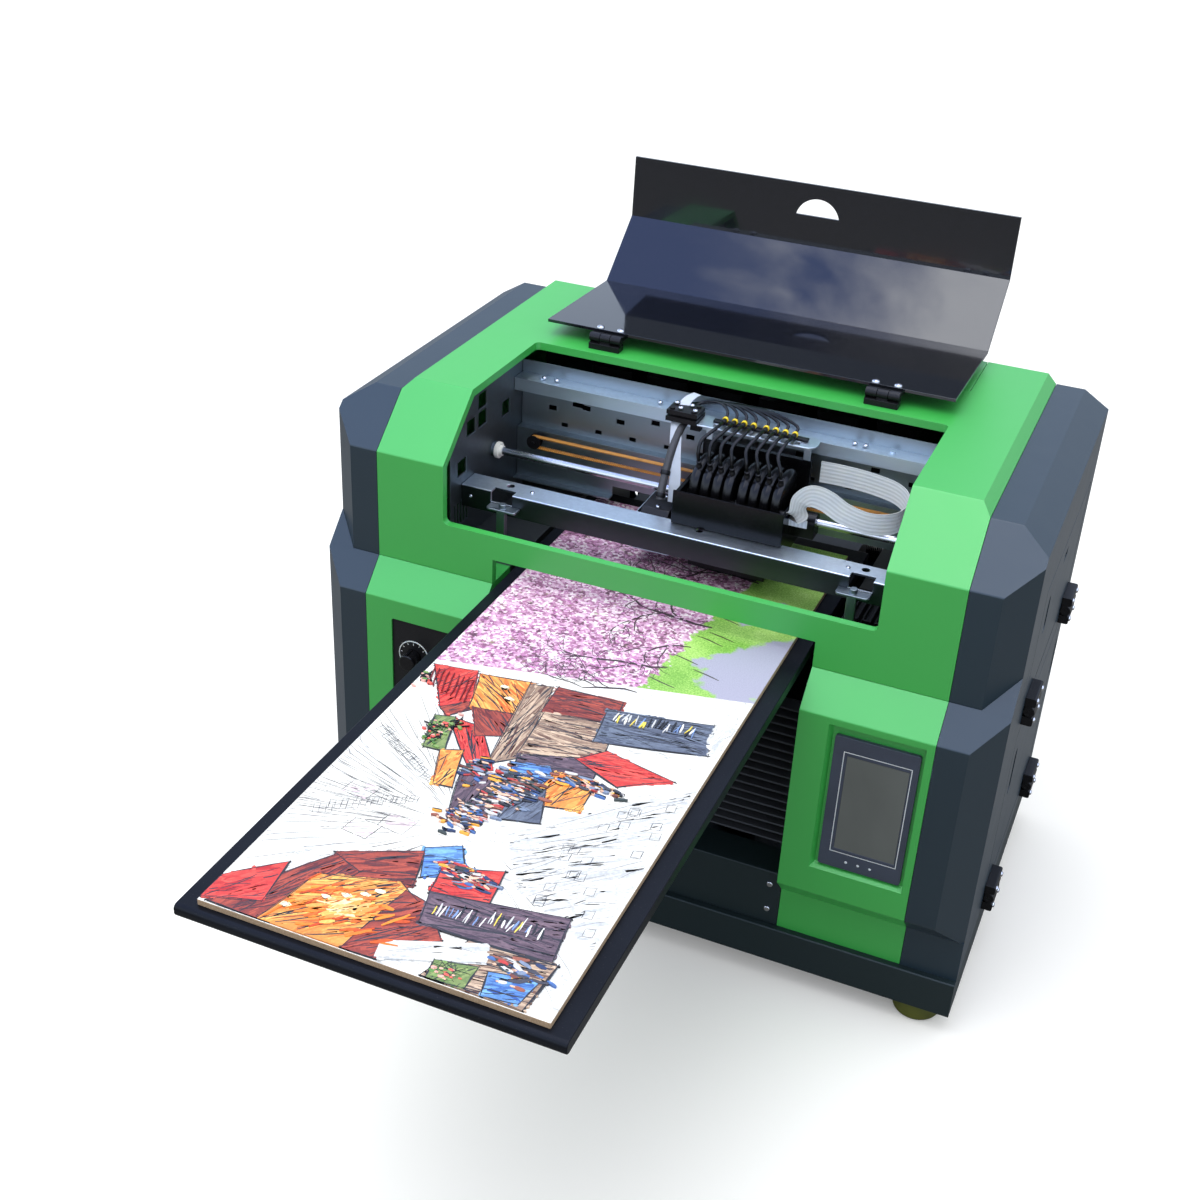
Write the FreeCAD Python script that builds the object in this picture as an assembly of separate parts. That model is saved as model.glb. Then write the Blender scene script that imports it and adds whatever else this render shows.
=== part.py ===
"""Small-format flatbed UV printer: parametric source.

All lengths are millimetres. +X is the operator's right, +Y points to the back, +Z is up.
Heights are written above the floor; save() then puts the origin on the underside of the base
tray, midway between the four feet.
The model is written with the bed run out to the front and the lid thrown open.
"""
import FreeCAD
import Part
import math
import os

V = FreeCAD.Vector
X_AXIS = V(1, 0, 0)
Y_AXIS = V(0, 1, 0)
Z_AXIS = V(0, 0, 1)

# ---------------------------------------------------------------- outer envelope
SIDE = 385.0            # half width over the grey side covers
GREEN = 322.0           # half width of the green hood and pedestals
FRONT = -210.0          # front plane of the hood
REAR = 225.0            # rear plane of every cover
FOOT_H = 28.0
FOOT_R = 27.0
FOOT_X = 345.0
FOOT_Y = 190.0
STUD_R = 6.0
SHEET = 2.0             # cover sheet thickness
GAP = 0.6               # visible gap between neighbouring covers
BEND_R = 3.0            # outer radius of the cover bends

BASE_TOP = 74.0
BASE_FRONT = -224.0
PARTING = 415.0         # joint between lower covers and hood
HOOD_BEND = 542.0       # top of the hood's vertical front
GREY_TOP = 594.0
GREEN_TOP = 604.8
SLOPE_RUN = 57.0        # run of the sloping band on the grey covers
SLOPE_RATE = (GREY_TOP - HOOD_BEND) / SLOPE_RUN
GREEN_BEND_Y = FRONT + (GREEN_TOP - HOOD_BEND) / SLOPE_RATE
GREEN_LIP = 10.5        # width of the hood's chamfered side lip

CORNER_X = 355.0        # where the front corner chamfer starts
CORNER_DEPTH = 28.4
TOP_DROP = 18.5

# ---------------------------------------------------------------- lower body
PED_FRONT = -241.6      # front plane of the pedestals
PED_TOP = 381.5         # top of that plane
STEP_TOP = 155.5
STEP_BOTTOM = 127.0
STEP_FRONT = -216.0
PED_INNER = 181.5       # half width of the passage between the pedestals

# ---------------------------------------------------------------- hood openings
OPEN_X = 241.5
OPEN_BOTTOM = 473.3
OPEN_REAR = 20.6
NOTCH_TOP = 444.6
INK_COVER_X = 242.0
INK_COVER_FRONT = 126.0
FOLD = 9.0              # depth of the folded edge around the openings

# ---------------------------------------------------------------- side doors and hinges
DOOR_FRONT = -98.0
DOOR_REAR = 190.0
UPPER_DOOR = (353.0, 500.0)
LOWER_DOOR = (98.0, 322.0)
DOOR_GAP = 2.2
SLOT_W = 16.0           # upright vent slots, each as (y, z0, z1)
UPPER_SLOT = (-50.0, 426.0, 470.0)
LOWER_SLOT = (-58.0, 221.0, 281.0)
REAR_SLOT = (208.0, 227.0, 277.0)
HINGE_LEN = 42.0
HINGE_Y = (-72.0, 163.0)
BARREL_R = 6.0
LEAF_H = 11.0

# ---------------------------------------------------------------- lid
LID_X = 240.0
LID_T = 3.5
LID_AXIS_Y = 38.8
LID_AXIS_Z = 617.4
LID_GAP = 5.2           # the closed lid rests on bumpers this far off the hood
LID_OPEN_DEG = 181.9
LID_EDGE = 7.4          # the lid's hinge edge, measured from the axis
LID_HINGE_X = 163.0
LID_LEAF_LEN = 38.0
HAND_HOLE_R = 28.0
HAND_HOLE_H = 21.0

# ---------------------------------------------------------------- bed and its slide
BED_X = 172.0
BED_FRONT = -795.0
BED_REAR = 45.0
BED_TOP = 420.5
BED_T = 12.5
BOARD_X = 154.6
BOARD_FRONT = -786.0
BOARD_REAR = 16.0
BOARD_T = 6.0
BED_TRAVEL = 500.0
BEAM_X = 145.0
BEAM_FRONT = -453.0
BEAM_REAR = 160.0
BEAM_TOP = 383.0
BEAM_BOTTOM = 337.0
BEAM_SHEET = 4.0
RAIL_X = 110.0
RAIL_W = 15.0
RAIL_H = 15.0
BLOCK_Y = (-240.0, -10.0)
BLOCK_LEN = 56.0
SCREW_R = 8.0
SCREW_Z = 361.0
NUT_Y = -410.0

# ---------------------------------------------------------------- bed lift
SHAFT_R = 8.0
SHAFT_X = 110.0
SHAFT_Y = (-110.0, 120.0)
SHAFT_TOP = 320.0
LIFT_SCREW_X = 66.0
LIFT_SCREW_Y = 10.0
LIFT_SCREW_R = 7.0
RUNNING = 0.05          # radial clearance of everything that turns or slides

# ---------------------------------------------------------------- print mechanism
FRAME_X = 255.0         # half distance between the galvanised side plates
PLATE_T = 2.5
HEAD_Z = 430.0
ROD_Y = -60.0
ROD_Z = 498.7
ROD_R = 4.5
BELT_Y = -12.0
BELT_Z = 495.0
BELT_W = 6.0
BELT_T = 1.2
PULLEY_R = 6.0
PULLEY_X = 226.0
BACK_Y = 12.0           # front face of the galvanised back plate
CAR_LEFT = -14.0
CAR_RIGHT = 110.0
CAR_FRONT = -118.0
CAR_REAR = -22.0
DAMPERS = 8

# ---------------------------------------------------------------- controls
PANEL_RECESS = (213.5, 314.0, 190.0, 374.0)     # x0, x1, z0, z1
PANEL_RECESS_D = 8.0
PANEL = (221.0, 310.0, 196.0, 361.0)
INSET = (-290.0, -196.0, 205.0, 358.0)
DIAL_X = -263.0
DIAL_Z = 315.0


# ================================================================ helpers
def box(x0, x1, y0, y1, z0, z1):
    """Axis-aligned block between two corners."""
    return Part.makeBox(x1 - x0, y1 - y0, z1 - z0, V(x0, y0, z0))


def cylinder(radius, start, axis, length):
    return Part.makeCylinder(radius, length, start, axis)


def tube(outer, inner, start, axis, length):
    return cylinder(outer, start, axis, length).cut(cylinder(inner, start, axis, length))


def prism_x(points, x0, x1):
    """Extrude a closed (y, z) outline along X."""
    wire = Part.makePolygon([V(x0, y, z) for y, z in points + points[:1]])
    return Part.Face(wire).extrude(V(x1 - x0, 0, 0))


def prism_y(points, y0, y1):
    """Extrude a closed (x, z) outline along Y."""
    wire = Part.makePolygon([V(x, y0, z) for x, z in points + points[:1]])
    return Part.Face(wire).extrude(V(0, y1 - y0, 0))


def prism_z(points, z0, z1):
    """Extrude a closed (x, y) outline along Z."""
    wire = Part.makePolygon([V(x, y, z0) for x, y in points + points[:1]])
    return Part.Face(wire).extrude(V(0, 0, z1 - z0))


def fuse(shapes):
    """One solid out of touching shapes."""
    result = shapes[0]
    if len(shapes) > 1:
        result = shapes[0].multiFuse(shapes[1:])
    return result.removeSplitter()


def cut_all(shape, cutters):
    for cutter in cutters:
        shape = shape.cut(cutter)
    return shape


def group(shapes):
    """Several separate solids kept in one file."""
    return Part.makeCompound(shapes)


def mirror(shape):
    """Mirror across the machine's centre plane."""
    return shape.mirror(V(0, 0, 0), X_AXIS)


def turned(shape, centre, axis, degrees):
    copy = shape.copy()
    copy.rotate(centre, axis, degrees)
    return copy


def round_edges(shape, radius, chosen):
    """Fillet the straight edges for which chosen(edge) is true."""
    edges = [edge for edge in shape.Edges if chosen(edge)]
    return shape.makeFillet(radius, edges)


def along(edge, axis):
    """True for a straight edge parallel to the axis."""
    if len(edge.Vertexes) != 2:
        return False
    run = edge.Vertexes[1].Point.sub(edge.Vertexes[0].Point)
    return run.Length > 0.5 and abs(run.normalize().dot(axis)) > 0.999


def save(name, shape):
    os.makedirs("parts", exist_ok=True)
    if not shape.isValid():
        print("not valid:", name)
    shape.translated(V(0, 0, -FOOT_H)).exportStep("parts/" + name + ".step")


# ================================================================ cover outlines
def upper_outline(top, bend_y, inset=0.0):
    """Side outline (y, z) of the upper covers, moved inwards by a sheet thickness."""
    slope = math.atan(SLOPE_RATE)
    front = FRONT + inset
    knee = HOOD_BEND + inset * (SLOPE_RATE - 1 / math.cos(slope))
    ridge = top - inset
    ridge_y = bend_y + inset * (1 / math.cos(slope) - 1) / SLOPE_RATE
    return [(front, PARTING), (front, knee), (ridge_y, ridge), (REAR - inset, ridge), (REAR - inset, PARTING)]


def lower_outline(inset=0.0):
    """Side outline (y, z) of the lower covers."""
    front = PED_FRONT + inset
    foot = STEP_FRONT + inset
    slope = (PARTING - PED_TOP) / (FRONT - PED_FRONT)
    top_y = FRONT + inset * 1.4
    return [(foot, BASE_TOP), (foot, STEP_BOTTOM + inset * 0.4), (front, STEP_TOP + inset * 0.4),
            (front, PED_TOP - inset * 0.4), (top_y, PED_TOP - inset * 0.4 + slope * (top_y - front)),
            (top_y, PARTING - inset), (REAR - inset, PARTING - inset), (REAR - inset, BASE_TOP)]


def round_bends(block, bends, radius):
    """Round the outer bends, given as (y, z) points, that run across the machine."""
    def at_bend(edge):
        place = edge.Vertexes[0].Point
        return along(edge, X_AXIS) and any(abs(place.y - y) + abs(place.z - z) < 0.01 for y, z in bends)
    return round_edges(block, radius, at_bend)


def upper_prism(top, bend_y, inset, x0, x1):
    outline = upper_outline(top, bend_y, inset)
    return round_bends(prism_x(outline, x0, x1), outline[1:3], max(BEND_R - inset, 0.5))


def lower_prism(inset, x0, x1):
    outline = lower_outline(inset)
    return round_bends(prism_x(outline, x0, x1), outline[2:4], max(BEND_R - inset, 0.5))


def corner_cutter(front, inset=0.0):
    """Everything outside the chamfer on the right front corner."""
    shift = inset * 1.2
    near = front + shift
    return prism_z([(CORNER_X, near - 60), (CORNER_X, near),
                    (SIDE, near + CORNER_DEPTH), (SIDE + 60, near + 3 * CORNER_DEPTH),
                    (SIDE + 60, near - 60)], PARTING - 400, GREY_TOP + 40)


def top_cutter(inset=0.0):
    """Everything above the chamfer along the right top edge."""
    high = GREY_TOP - inset * 1.2
    rate = TOP_DROP / (SIDE - CORNER_X)
    return prism_y([(CORNER_X, high), (SIDE + 40, high - rate * (SIDE + 40 - CORNER_X)),
                    (SIDE + 40, high + 60), (CORNER_X, high + 60)], FRONT - 40, REAR + 40)


def upper_cover_block(inset=0.0):
    block = upper_prism(GREY_TOP, FRONT + SLOPE_RUN, inset, GREEN, SIDE - inset)
    return cut_all(block, [corner_cutter(FRONT, inset), top_cutter(inset)])


def lower_cover_block(inset=0.0):
    """Lower cover volume: the recessed foot keeps its square corner."""
    block = lower_prism(inset, GREEN, SIDE - inset)
    chamfer = corner_cutter(PED_FRONT, inset)
    foot = box(GREEN, SIDE + 80, PED_FRONT - 40, REAR, 0, STEP_BOTTOM + inset * 0.4)
    return block.cut(chamfer.cut(foot))


# ================================================================ base
def foot_places():
    return [(x, y) for x in (-FOOT_X, FOOT_X) for y in (-FOOT_Y, FOOT_Y)]


def base_frame():
    outer = box(-SIDE, SIDE, BASE_FRONT, REAR, FOOT_H, BASE_TOP)
    inner = box(-SIDE + 3, SIDE - 3, BASE_FRONT + 3, REAR - 3, FOOT_H + 3, BASE_TOP - 3)
    window = box(-SIDE + 60, SIDE - 60, BASE_FRONT + 60, REAR - 40, BASE_TOP - 4, BASE_TOP + 1)
    tray = outer.cut(inner).cut(window)
    tray = round_edges(tray, 2.0, lambda e: along(e, X_AXIS) and e.BoundBox.YMin < BASE_FRONT + 0.1
                       and e.BoundBox.ZMin > BASE_TOP - 0.1)
    floor = FOOT_H + 3
    seats = [box(x - 22, x + 22, y - 22, y + 22, floor, BASE_TOP)
             for x in (-SHAFT_X, SHAFT_X) for y in SHAFT_Y]
    bores = [cylinder(SHAFT_R, V(x, y, floor + 8), Z_AXIS, 80)
             for x in (-SHAFT_X, SHAFT_X) for y in SHAFT_Y]
    bearing = box(LIFT_SCREW_X - 22, LIFT_SCREW_X + 22, LIFT_SCREW_Y - 22, LIFT_SCREW_Y + 22, floor, BASE_TOP)
    screw_bore = cylinder(LIFT_SCREW_R - 2 + RUNNING, V(LIFT_SCREW_X, LIFT_SCREW_Y, floor + 7), Z_AXIS, 80)
    stud_holes = [cylinder(STUD_R + RUNNING, V(x, y, FOOT_H - 1), Z_AXIS, 5) for x, y in foot_places()]
    return cut_all(fuse([tray, bearing] + seats), bores + [screw_bore] + stud_holes)


def feet():
    """Round feet; the stud passes through the tray's floor and a nut holds it from inside."""
    stud = cylinder(STUD_R, V(0, 0, FOOT_H - 4), Z_AXIS, 14)
    nut = cylinder(STUD_R + 5, V(0, 0, FOOT_H + 3), Z_AXIS, 6)
    dome = cylinder(FOOT_R, V(0, 0, 0), Z_AXIS, FOOT_H - 4)
    dome = dome.makeFillet(6.0, [e for e in dome.Edges if e.BoundBox.ZMax < 0.1])
    dome = dome.makeFillet(2.0, [e for e in dome.Edges if e.BoundBox.ZMin > FOOT_H - 4.1])
    foot = fuse([dome, stud, nut])
    return group([foot.translated(V(x, y, 0)) for x, y in foot_places()])


# ================================================================ side covers
def tall_slot(y, z0, z1):
    """Upright vent slot through the right side plane."""
    slot = box(SIDE - 12, SIDE + 4, y - SLOT_W / 2, y + SLOT_W / 2, z0, z1)
    return round_edges(slot, SLOT_W / 2 - 0.1, lambda e: along(e, X_AXIS))


def door_opening(door):
    return box(SIDE - 16, SIDE + 10, DOOR_FRONT, DOOR_REAR, door[0], door[1])


def upper_cover(right):
    shell = upper_cover_block().cut(upper_cover_block(SHEET))
    shell = shell.cut(box(GREEN - 1, GREEN + GAP, FRONT - 50, REAR + 50, 0, 700))
    flange = box(GREEN + GAP, SIDE, FRONT, REAR, PARTING + GAP, PARTING + GAP + SHEET)
    shell = shell.cut(box(GREEN, SIDE + 1, FRONT - 1, REAR + 1, PARTING - 1, PARTING + GAP))
    shell = fuse([shell, flange.common(upper_cover_block(SHEET * 0.9))])
    if right:
        return shell.cut(door_opening(UPPER_DOOR))
    return mirror(shell.cut(tall_slot(*UPPER_SLOT)))


def corner_wedge():
    """The slope of the lower cover runs up beside the hood's chamfered corner."""
    rate = (PARTING - PED_TOP) / (FRONT - PED_FRONT)
    rise = rate * CORNER_DEPTH
    foot = [V(CORNER_X, FRONT, PARTING), V(SIDE, FRONT, PARTING), V(SIDE, FRONT + CORNER_DEPTH, PARTING)]
    apex = V(SIDE, FRONT + CORNER_DEPTH, PARTING + rise)
    faces = [Part.Face(Part.makePolygon(foot + foot[:1]))]
    for index in range(3):
        near = foot[index]
        far = foot[(index + 1) % 3]
        faces.append(Part.Face(Part.makePolygon([near, far, apex, near])))
    solid = Part.Solid(Part.Shell(faces))
    if solid.Volume < 0:
        solid.reverse()
    return solid.translated(V(0, -0.3, 0))


def lower_cover(right):
    shell = lower_cover_block().cut(lower_cover_block(SHEET))
    shell = shell.cut(box(GREEN - 1, GREEN + GAP, PED_FRONT - 50, REAR + 50, 0, 700))
    flange = box(GREEN + GAP, SIDE, PED_FRONT, REAR, BASE_TOP, BASE_TOP + SHEET)
    flange = flange.common(lower_cover_block(SHEET * 0.9))
    shell = fuse([shell, flange, corner_wedge()])
    shell = shell.cut(tall_slot(*REAR_SLOT))
    if right:
        return cut_all(shell, [door_opening(UPPER_DOOR), door_opening(LOWER_DOOR)])
    return mirror(shell.cut(tall_slot(*LOWER_SLOT)))


# ================================================================ side doors
def door(span, shelf, slot):
    """A flat service door with a folded rim, hung on its bottom edge."""
    z0 = span[0] + DOOR_GAP
    z1 = span[1] - DOOR_GAP
    y0 = DOOR_FRONT + DOOR_GAP
    y1 = DOOR_REAR - DOOR_GAP
    sheet = box(SIDE - SHEET, SIDE, y0, y1, z0, z1)
    rim = box(SIDE - shelf, SIDE - SHEET, y0, y1, z1 - 2, z1)
    ribs = [box(SIDE - shelf, SIDE - SHEET, y, y + 2, z0 + 14, z1) for y in (y0 + 10, y1 - 12)]
    latch = box(SIDE - SHEET - 4, SIDE - SHEET, (y0 + y1) / 2 - 18, (y0 + y1) / 2 + 18, z1 - 34, z1 - 16)
    grip = box(SIDE - SHEET - 6, SIDE + 1, (y0 + y1) / 2 - 12, (y0 + y1) / 2 + 12, z1 - 30, z1 - 20)
    return cut_all(fuse([sheet, rim, latch] + ribs), [grip, tall_slot(*slot)])


def side_hinge(y, z, moving):
    """Half of a thick plastic butt hinge whose pin lies along Y."""
    centre = SIDE + 0.2 + BARREL_R
    third = HINGE_LEN / 3
    y0 = y - HINGE_LEN / 2
    outer = centre + BARREL_R - 0.2
    if moving:
        leaf = box(SIDE, outer, y0, y0 + HINGE_LEN, z + BARREL_R + 0.8, z + BARREL_R + LEAF_H)
        spans = [(y0, y0 + third - 0.4), (y0 + 2 * third + 0.4, y0 + HINGE_LEN)]
        necks = [box(SIDE + 1.2, centre + 1, a, b, z + 1, z + BARREL_R + 2) for a, b in spans]
    else:
        leaf = box(SIDE, outer, y0, y0 + HINGE_LEN, z - BARREL_R - LEAF_H, z - BARREL_R - 0.8)
        spans = [(y0 + third + 0.4, y0 + 2 * third - 0.4)]
        necks = [box(SIDE, centre + 1, a, b, z - BARREL_R - 2, z - 1) for a, b in spans]
    knuckles = [cylinder(BARREL_R, V(centre, a, z), Y_AXIS, b - a) for a, b in spans]
    leaf = round_edges(leaf, 2.5, lambda e: along(e, Y_AXIS) and e.BoundBox.XMin > outer - 0.1)
    body = fuse([leaf] + knuckles + necks)
    pin_r = 2.5
    if moving:
        return body.cut(cylinder(pin_r + RUNNING, V(centre, y0 - 1, z), Y_AXIS, HINGE_LEN + 2))
    pin = cylinder(pin_r, V(centre, y0, z), Y_AXIS, HINGE_LEN)
    return fuse([body, pin])


def door_leaves(span):
    return group([side_hinge(y, span[0] - 0.5, True) for y in HINGE_Y])


def door_hinge_bases():
    return group([side_hinge(y, span[0] - 0.5, False) for y in HINGE_Y for span in (UPPER_DOOR, LOWER_DOOR)])


# ================================================================ green hood
def hood_block(inset=0.0):
    half = GREEN - inset
    block = upper_prism(GREEN_TOP, GREEN_BEND_Y, inset, -half, half)
    lip = GREEN_LIP - inset * 0.4
    rise = GREEN_TOP - GREY_TOP
    cutter = prism_y([(half - lip, GREEN_TOP - inset), (half + 1, GREEN_TOP - inset - (lip + 1) * rise / lip),
                      (half + 1, GREEN_TOP + 20), (half - lip, GREEN_TOP + 20)], FRONT - 40, REAR + 40)
    return cut_all(block, [cutter, mirror(cutter)])


def opening_block(extra=0.0):
    """Volume of the window through the hood's front, slope and top."""
    return box(-OPEN_X - extra, OPEN_X + extra, FRONT - 30, OPEN_REAR + extra, OPEN_BOTTOM - extra, GREEN_TOP + 30)


def hood():
    shell = hood_block().cut(hood_block(SHEET))
    window = round_edges(opening_block(), 6.0, lambda e: along(e, Y_AXIS) and e.BoundBox.ZMax < OPEN_BOTTOM + 1
                         or along(e, Z_AXIS) and e.BoundBox.YMin > OPEN_REAR - 1)
    frame = opening_block(SHEET).cut(window)
    rim = frame.common(hood_block()).cut(hood_block(FOLD))
    shell = shell.cut(window)
    notch = box(-PED_INNER, PED_INNER, FRONT - 30, FRONT + 40, PARTING - 10, NOTCH_TOP)
    notch_rim = box(-PED_INNER - SHEET, PED_INNER + SHEET, FRONT, FRONT + FOLD, PARTING, NOTCH_TOP + SHEET)
    shell = fuse([shell.cut(notch), rim, notch_rim.cut(notch)])
    bay = box(-INK_COVER_X, INK_COVER_X, INK_COVER_FRONT, REAR + 10, GREEN_TOP - SHEET - 1, GREEN_TOP + 10)
    ledge = box(-INK_COVER_X - 8, INK_COVER_X + 8, INK_COVER_FRONT - 8, REAR - SHEET,
                GREEN_TOP - SHEET - 2, GREEN_TOP - SHEET)
    ledge_hole = box(-INK_COVER_X + 10, INK_COVER_X - 10, INK_COVER_FRONT + 10, REAR + 10, GREY_TOP, GREEN_TOP)
    shell = fuse([shell.cut(bay), ledge.cut(ledge_hole)])
    passage = box(-PED_INNER - 4, PED_INNER + 4, REAR - 20, REAR + 5, PARTING - 5, 452)
    back = box(-GREEN - 1, GREEN + 1, REAR - SHEET - 0.2, REAR + 1, PARTING - 1, 560)
    shell = cut_all(shell, [passage, back])
    return shell.cut(box(-GREEN - 1, GREEN + 1, FRONT - 1, REAR + 1, PARTING - 1, PARTING + GAP))


def ink_bay_cover():
    """Lift-off cover over the ink bottles, with a finger slot."""
    plate = box(-INK_COVER_X + 0.8, INK_COVER_X - 0.8, INK_COVER_FRONT + 0.8, REAR,
                GREEN_TOP - SHEET, GREEN_TOP)
    plate = round_edges(plate, 1.0, lambda e: along(e, X_AXIS) and e.BoundBox.ZMin > GREEN_TOP - 0.1)
    grip = box(-30, 30, REAR - 16, REAR - 6, GREEN_TOP - SHEET - 1, GREEN_TOP + 1)
    grip = round_edges(grip, 4.0, lambda e: along(e, Z_AXIS))
    return plate.cut(grip)


# ================================================================ lower front
def pedestal(right):
    """Green pedestal between the passage and a side cover, right-hand version."""
    block = lower_prism(0.0, PED_INNER, GREEN)
    inner = lower_prism(SHEET, PED_INNER + SHEET, GREEN + 1)
    shell = block.cut(inner)
    shell = shell.cut(box(PED_INNER - 1, GREEN + 1, REAR - SHEET - 0.2, REAR + 1, BASE_TOP - 1, PARTING + 1))
    hole = box(PED_INNER - 5, PED_INNER + 5, REAR - 30, REAR + 5, BEAM_BOTTOM - 60, PARTING + 5)
    shell = shell.cut(hole)
    if right:
        return panel_recess(shell)
    x0, x1, z0, z1 = INSET
    window = box(-x1, -x0, PED_FRONT - 5, PED_FRONT + 5, z0, z1)
    window = round_edges(window, 3.0, lambda e: along(e, Y_AXIS))
    return mirror(shell.cut(window))


def panel_recess(shell):
    x0, x1, z0, z1 = PANEL_RECESS
    back = PED_FRONT + PANEL_RECESS_D
    flare = 4.0
    mouth = Part.makePolygon([V(x0, PED_FRONT - 0.01, z0), V(x1, PED_FRONT - 0.01, z0),
                              V(x1, PED_FRONT - 0.01, z1), V(x0, PED_FRONT - 0.01, z1),
                              V(x0, PED_FRONT - 0.01, z0)])
    floor = Part.makePolygon([V(x0 + flare, back, z0 + flare), V(x1 - 1, back, z0 + flare),
                              V(x1 - 1, back, z1 - flare), V(x0 + flare, back, z1 - flare),
                              V(x0 + flare, back, z0 + flare)])
    pocket = Part.makeLoft([mouth, floor], True)
    pan = box(x0 - 2, x1 + 2, PED_FRONT + SHEET, back + SHEET, z0 - 2, z1 + 2)
    cutout = box(PANEL[0] + 6, PANEL[1] - 6, back - 1, back + SHEET + 1, PANEL[2] + 6, PANEL[3] - 6)
    return fuse([shell, pan]).cut(pocket).cut(cutout)


def lower_front_panel():
    """Dark apron between the pedestals with a narrow shelf on top."""
    x = PED_INNER - 0.5
    face = box(-x, x, STEP_FRONT, STEP_FRONT + 2, BASE_TOP, 146)
    shelf = box(-x, x, STEP_FRONT, -172, 144, 146)
    back = box(-x, x, -174, -172, 120, 146)
    apron = fuse([face, shelf, back])
    return round_edges(apron, 1.5, lambda e: along(e, X_AXIS) and e.BoundBox.YMax < STEP_FRONT + 0.1
                       and e.BoundBox.ZMin > 145.9)


def bellows(front):
    """Pleated dust guard that rises from the apron's shelf to the beam."""
    pleats = 12
    low = 148.0
    high = BEAM_BOTTOM - 1
    pitch = (high - low) / pleats
    outline = [(front + 14, low)]
    for index in range(pleats):
        outline.append((front + 5, low + index * pitch))
        outline.append((front, low + (index + 0.5) * pitch))
    outline.append((front + 5, high))
    outline.append((front + 14, high))
    outline.append((front + 9, high - 1))
    outline.append((front + 9, low + 1))
    return prism_x(outline, -PED_INNER + 4, PED_INNER - 4)


def rear_panel():
    """Removable back with the bed slot, vents and the power inlet opening."""
    sheet = box(-GREEN + 1, GREEN - 1, REAR - SHEET, REAR, BASE_TOP, 559)
    slot = box(-186, 186, REAR - 5, REAR + 5, BEAM_BOTTOM - 8, 451)
    slot = round_edges(slot, 8.0, lambda e: along(e, Y_AXIS))
    louvres = [box(x - 4, x + 4, REAR - 5, REAR + 5, 120, 190) for x in range(-290, -180, 18)]
    louvres += [box(x - 4, x + 4, REAR - 5, REAR + 5, 330, 440)
                for x in list(range(-304, -204, 18)) + list(range(214, 314, 18))]
    inlet = box(222, 250, REAR - 5, REAR + 5, 100, 148)
    return cut_all(sheet, [slot, inlet] + louvres)


# ================================================================ controls
def touch_panel():
    x0, x1, z0, z1 = PANEL
    back = PED_FRONT + PANEL_RECESS_D
    bezel = box(x0, x1, back - 4.5, back, z0, z1)
    bezel = round_edges(bezel, 3.0, lambda e: along(e, Y_AXIS))
    screen = box(x0 + 15, x1 - 9, back - 5, back - 3.7, z0 + 25, z1 - 22)
    body = box(x0 + 7, x1 - 7, back, back + 24, z0 + 7, z1 - 7)
    lights = [cylinder(1.6, V((x0 + x1) / 2 + dx, back - 3, z0 + 12), Y_AXIS, 4) for dx in (-14, 0, 14)]
    return fuse([cut_all(bezel, [screen] + lights), body])


def touch_screen():
    x0, x1, z0, z1 = PANEL
    back = PED_FRONT + PANEL_RECESS_D
    pane = box(x0 + 15.2, x1 - 9.2, back - 4.3, back - 3.7, z0 + 25.2, z1 - 22.2)
    return pane


def control_inset():
    """Dark plate behind the left window, carrying the dial."""
    x0, x1, z0, z1 = INSET
    front = PED_FRONT + SHEET
    plate = box(x0 - 8, x1 + 8, front, front + 2, z0 - 8, z1 + 8)
    pot = cylinder(12, V(DIAL_X, front + 2, DIAL_Z), Y_AXIS, 16)
    ring = cylinder(19, V(DIAL_X, front - 1.2, DIAL_Z), Y_AXIS, 1.3)
    plate = fuse([plate, pot, ring])
    return plate.cut(cylinder(3 + RUNNING, V(DIAL_X, front - 5, DIAL_Z), Y_AXIS, 15))


def dial_knob():
    front = PED_FRONT + SHEET - 1.6
    skirt = cylinder(9.5, V(DIAL_X, front, DIAL_Z), V(0, -1, 0), 17)
    skirt = skirt.makeFillet(1.5, [e for e in skirt.Edges if e.BoundBox.YMax < front - 16])
    stem = cylinder(3, V(DIAL_X, front - 1, DIAL_Z), Y_AXIS, 12)
    mark = box(DIAL_X - 0.6, DIAL_X + 0.6, front - 16, front - 2, DIAL_Z + 9, DIAL_Z + 11)
    return fuse([skirt, stem, mark])


def panel_screws():
    """Dome-head screws that show on the apron."""
    screws = []
    for x in (168.0, -168.0):
        for z in (94.0, 129.0):
            screws.append(dome_screw(V(x, STEP_FRONT, z), V(0, -1, 0)))
    return group(screws)


def dome_screw(base, axis, radius=3.6):
    head = cylinder(radius, base, axis, 2.2)
    far = base.add(V(axis).multiply(2.2))
    top = [e for e in head.Edges if e.Curve.TypeId == "Part::GeomCircle"
           and e.Curve.Center.sub(far).Length < 0.1]
    return head.makeFillet(1.2, top)


# ================================================================ lid
def lid_outline(offset):
    """Closed-lid (y, z) bend line at a distance above the hood's surface."""
    slope = math.atan(SLOPE_RATE)
    top = GREEN_TOP + offset
    knee_z = HOOD_BEND + offset * (1 / math.cos(slope) - SLOPE_RATE)
    ridge_y = GREEN_BEND_Y - offset * (1 - math.cos(slope)) / math.sin(slope)
    return [(LID_AXIS_Y - LID_EDGE, top), (ridge_y, top), (FRONT - offset, knee_z),
            (FRONT - offset, OPEN_BOTTOM - 3)]


def open_lid(shape):
    return turned(shape, V(0, LID_AXIS_Y, LID_AXIS_Z), X_AXIS, -LID_OPEN_DEG)


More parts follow.
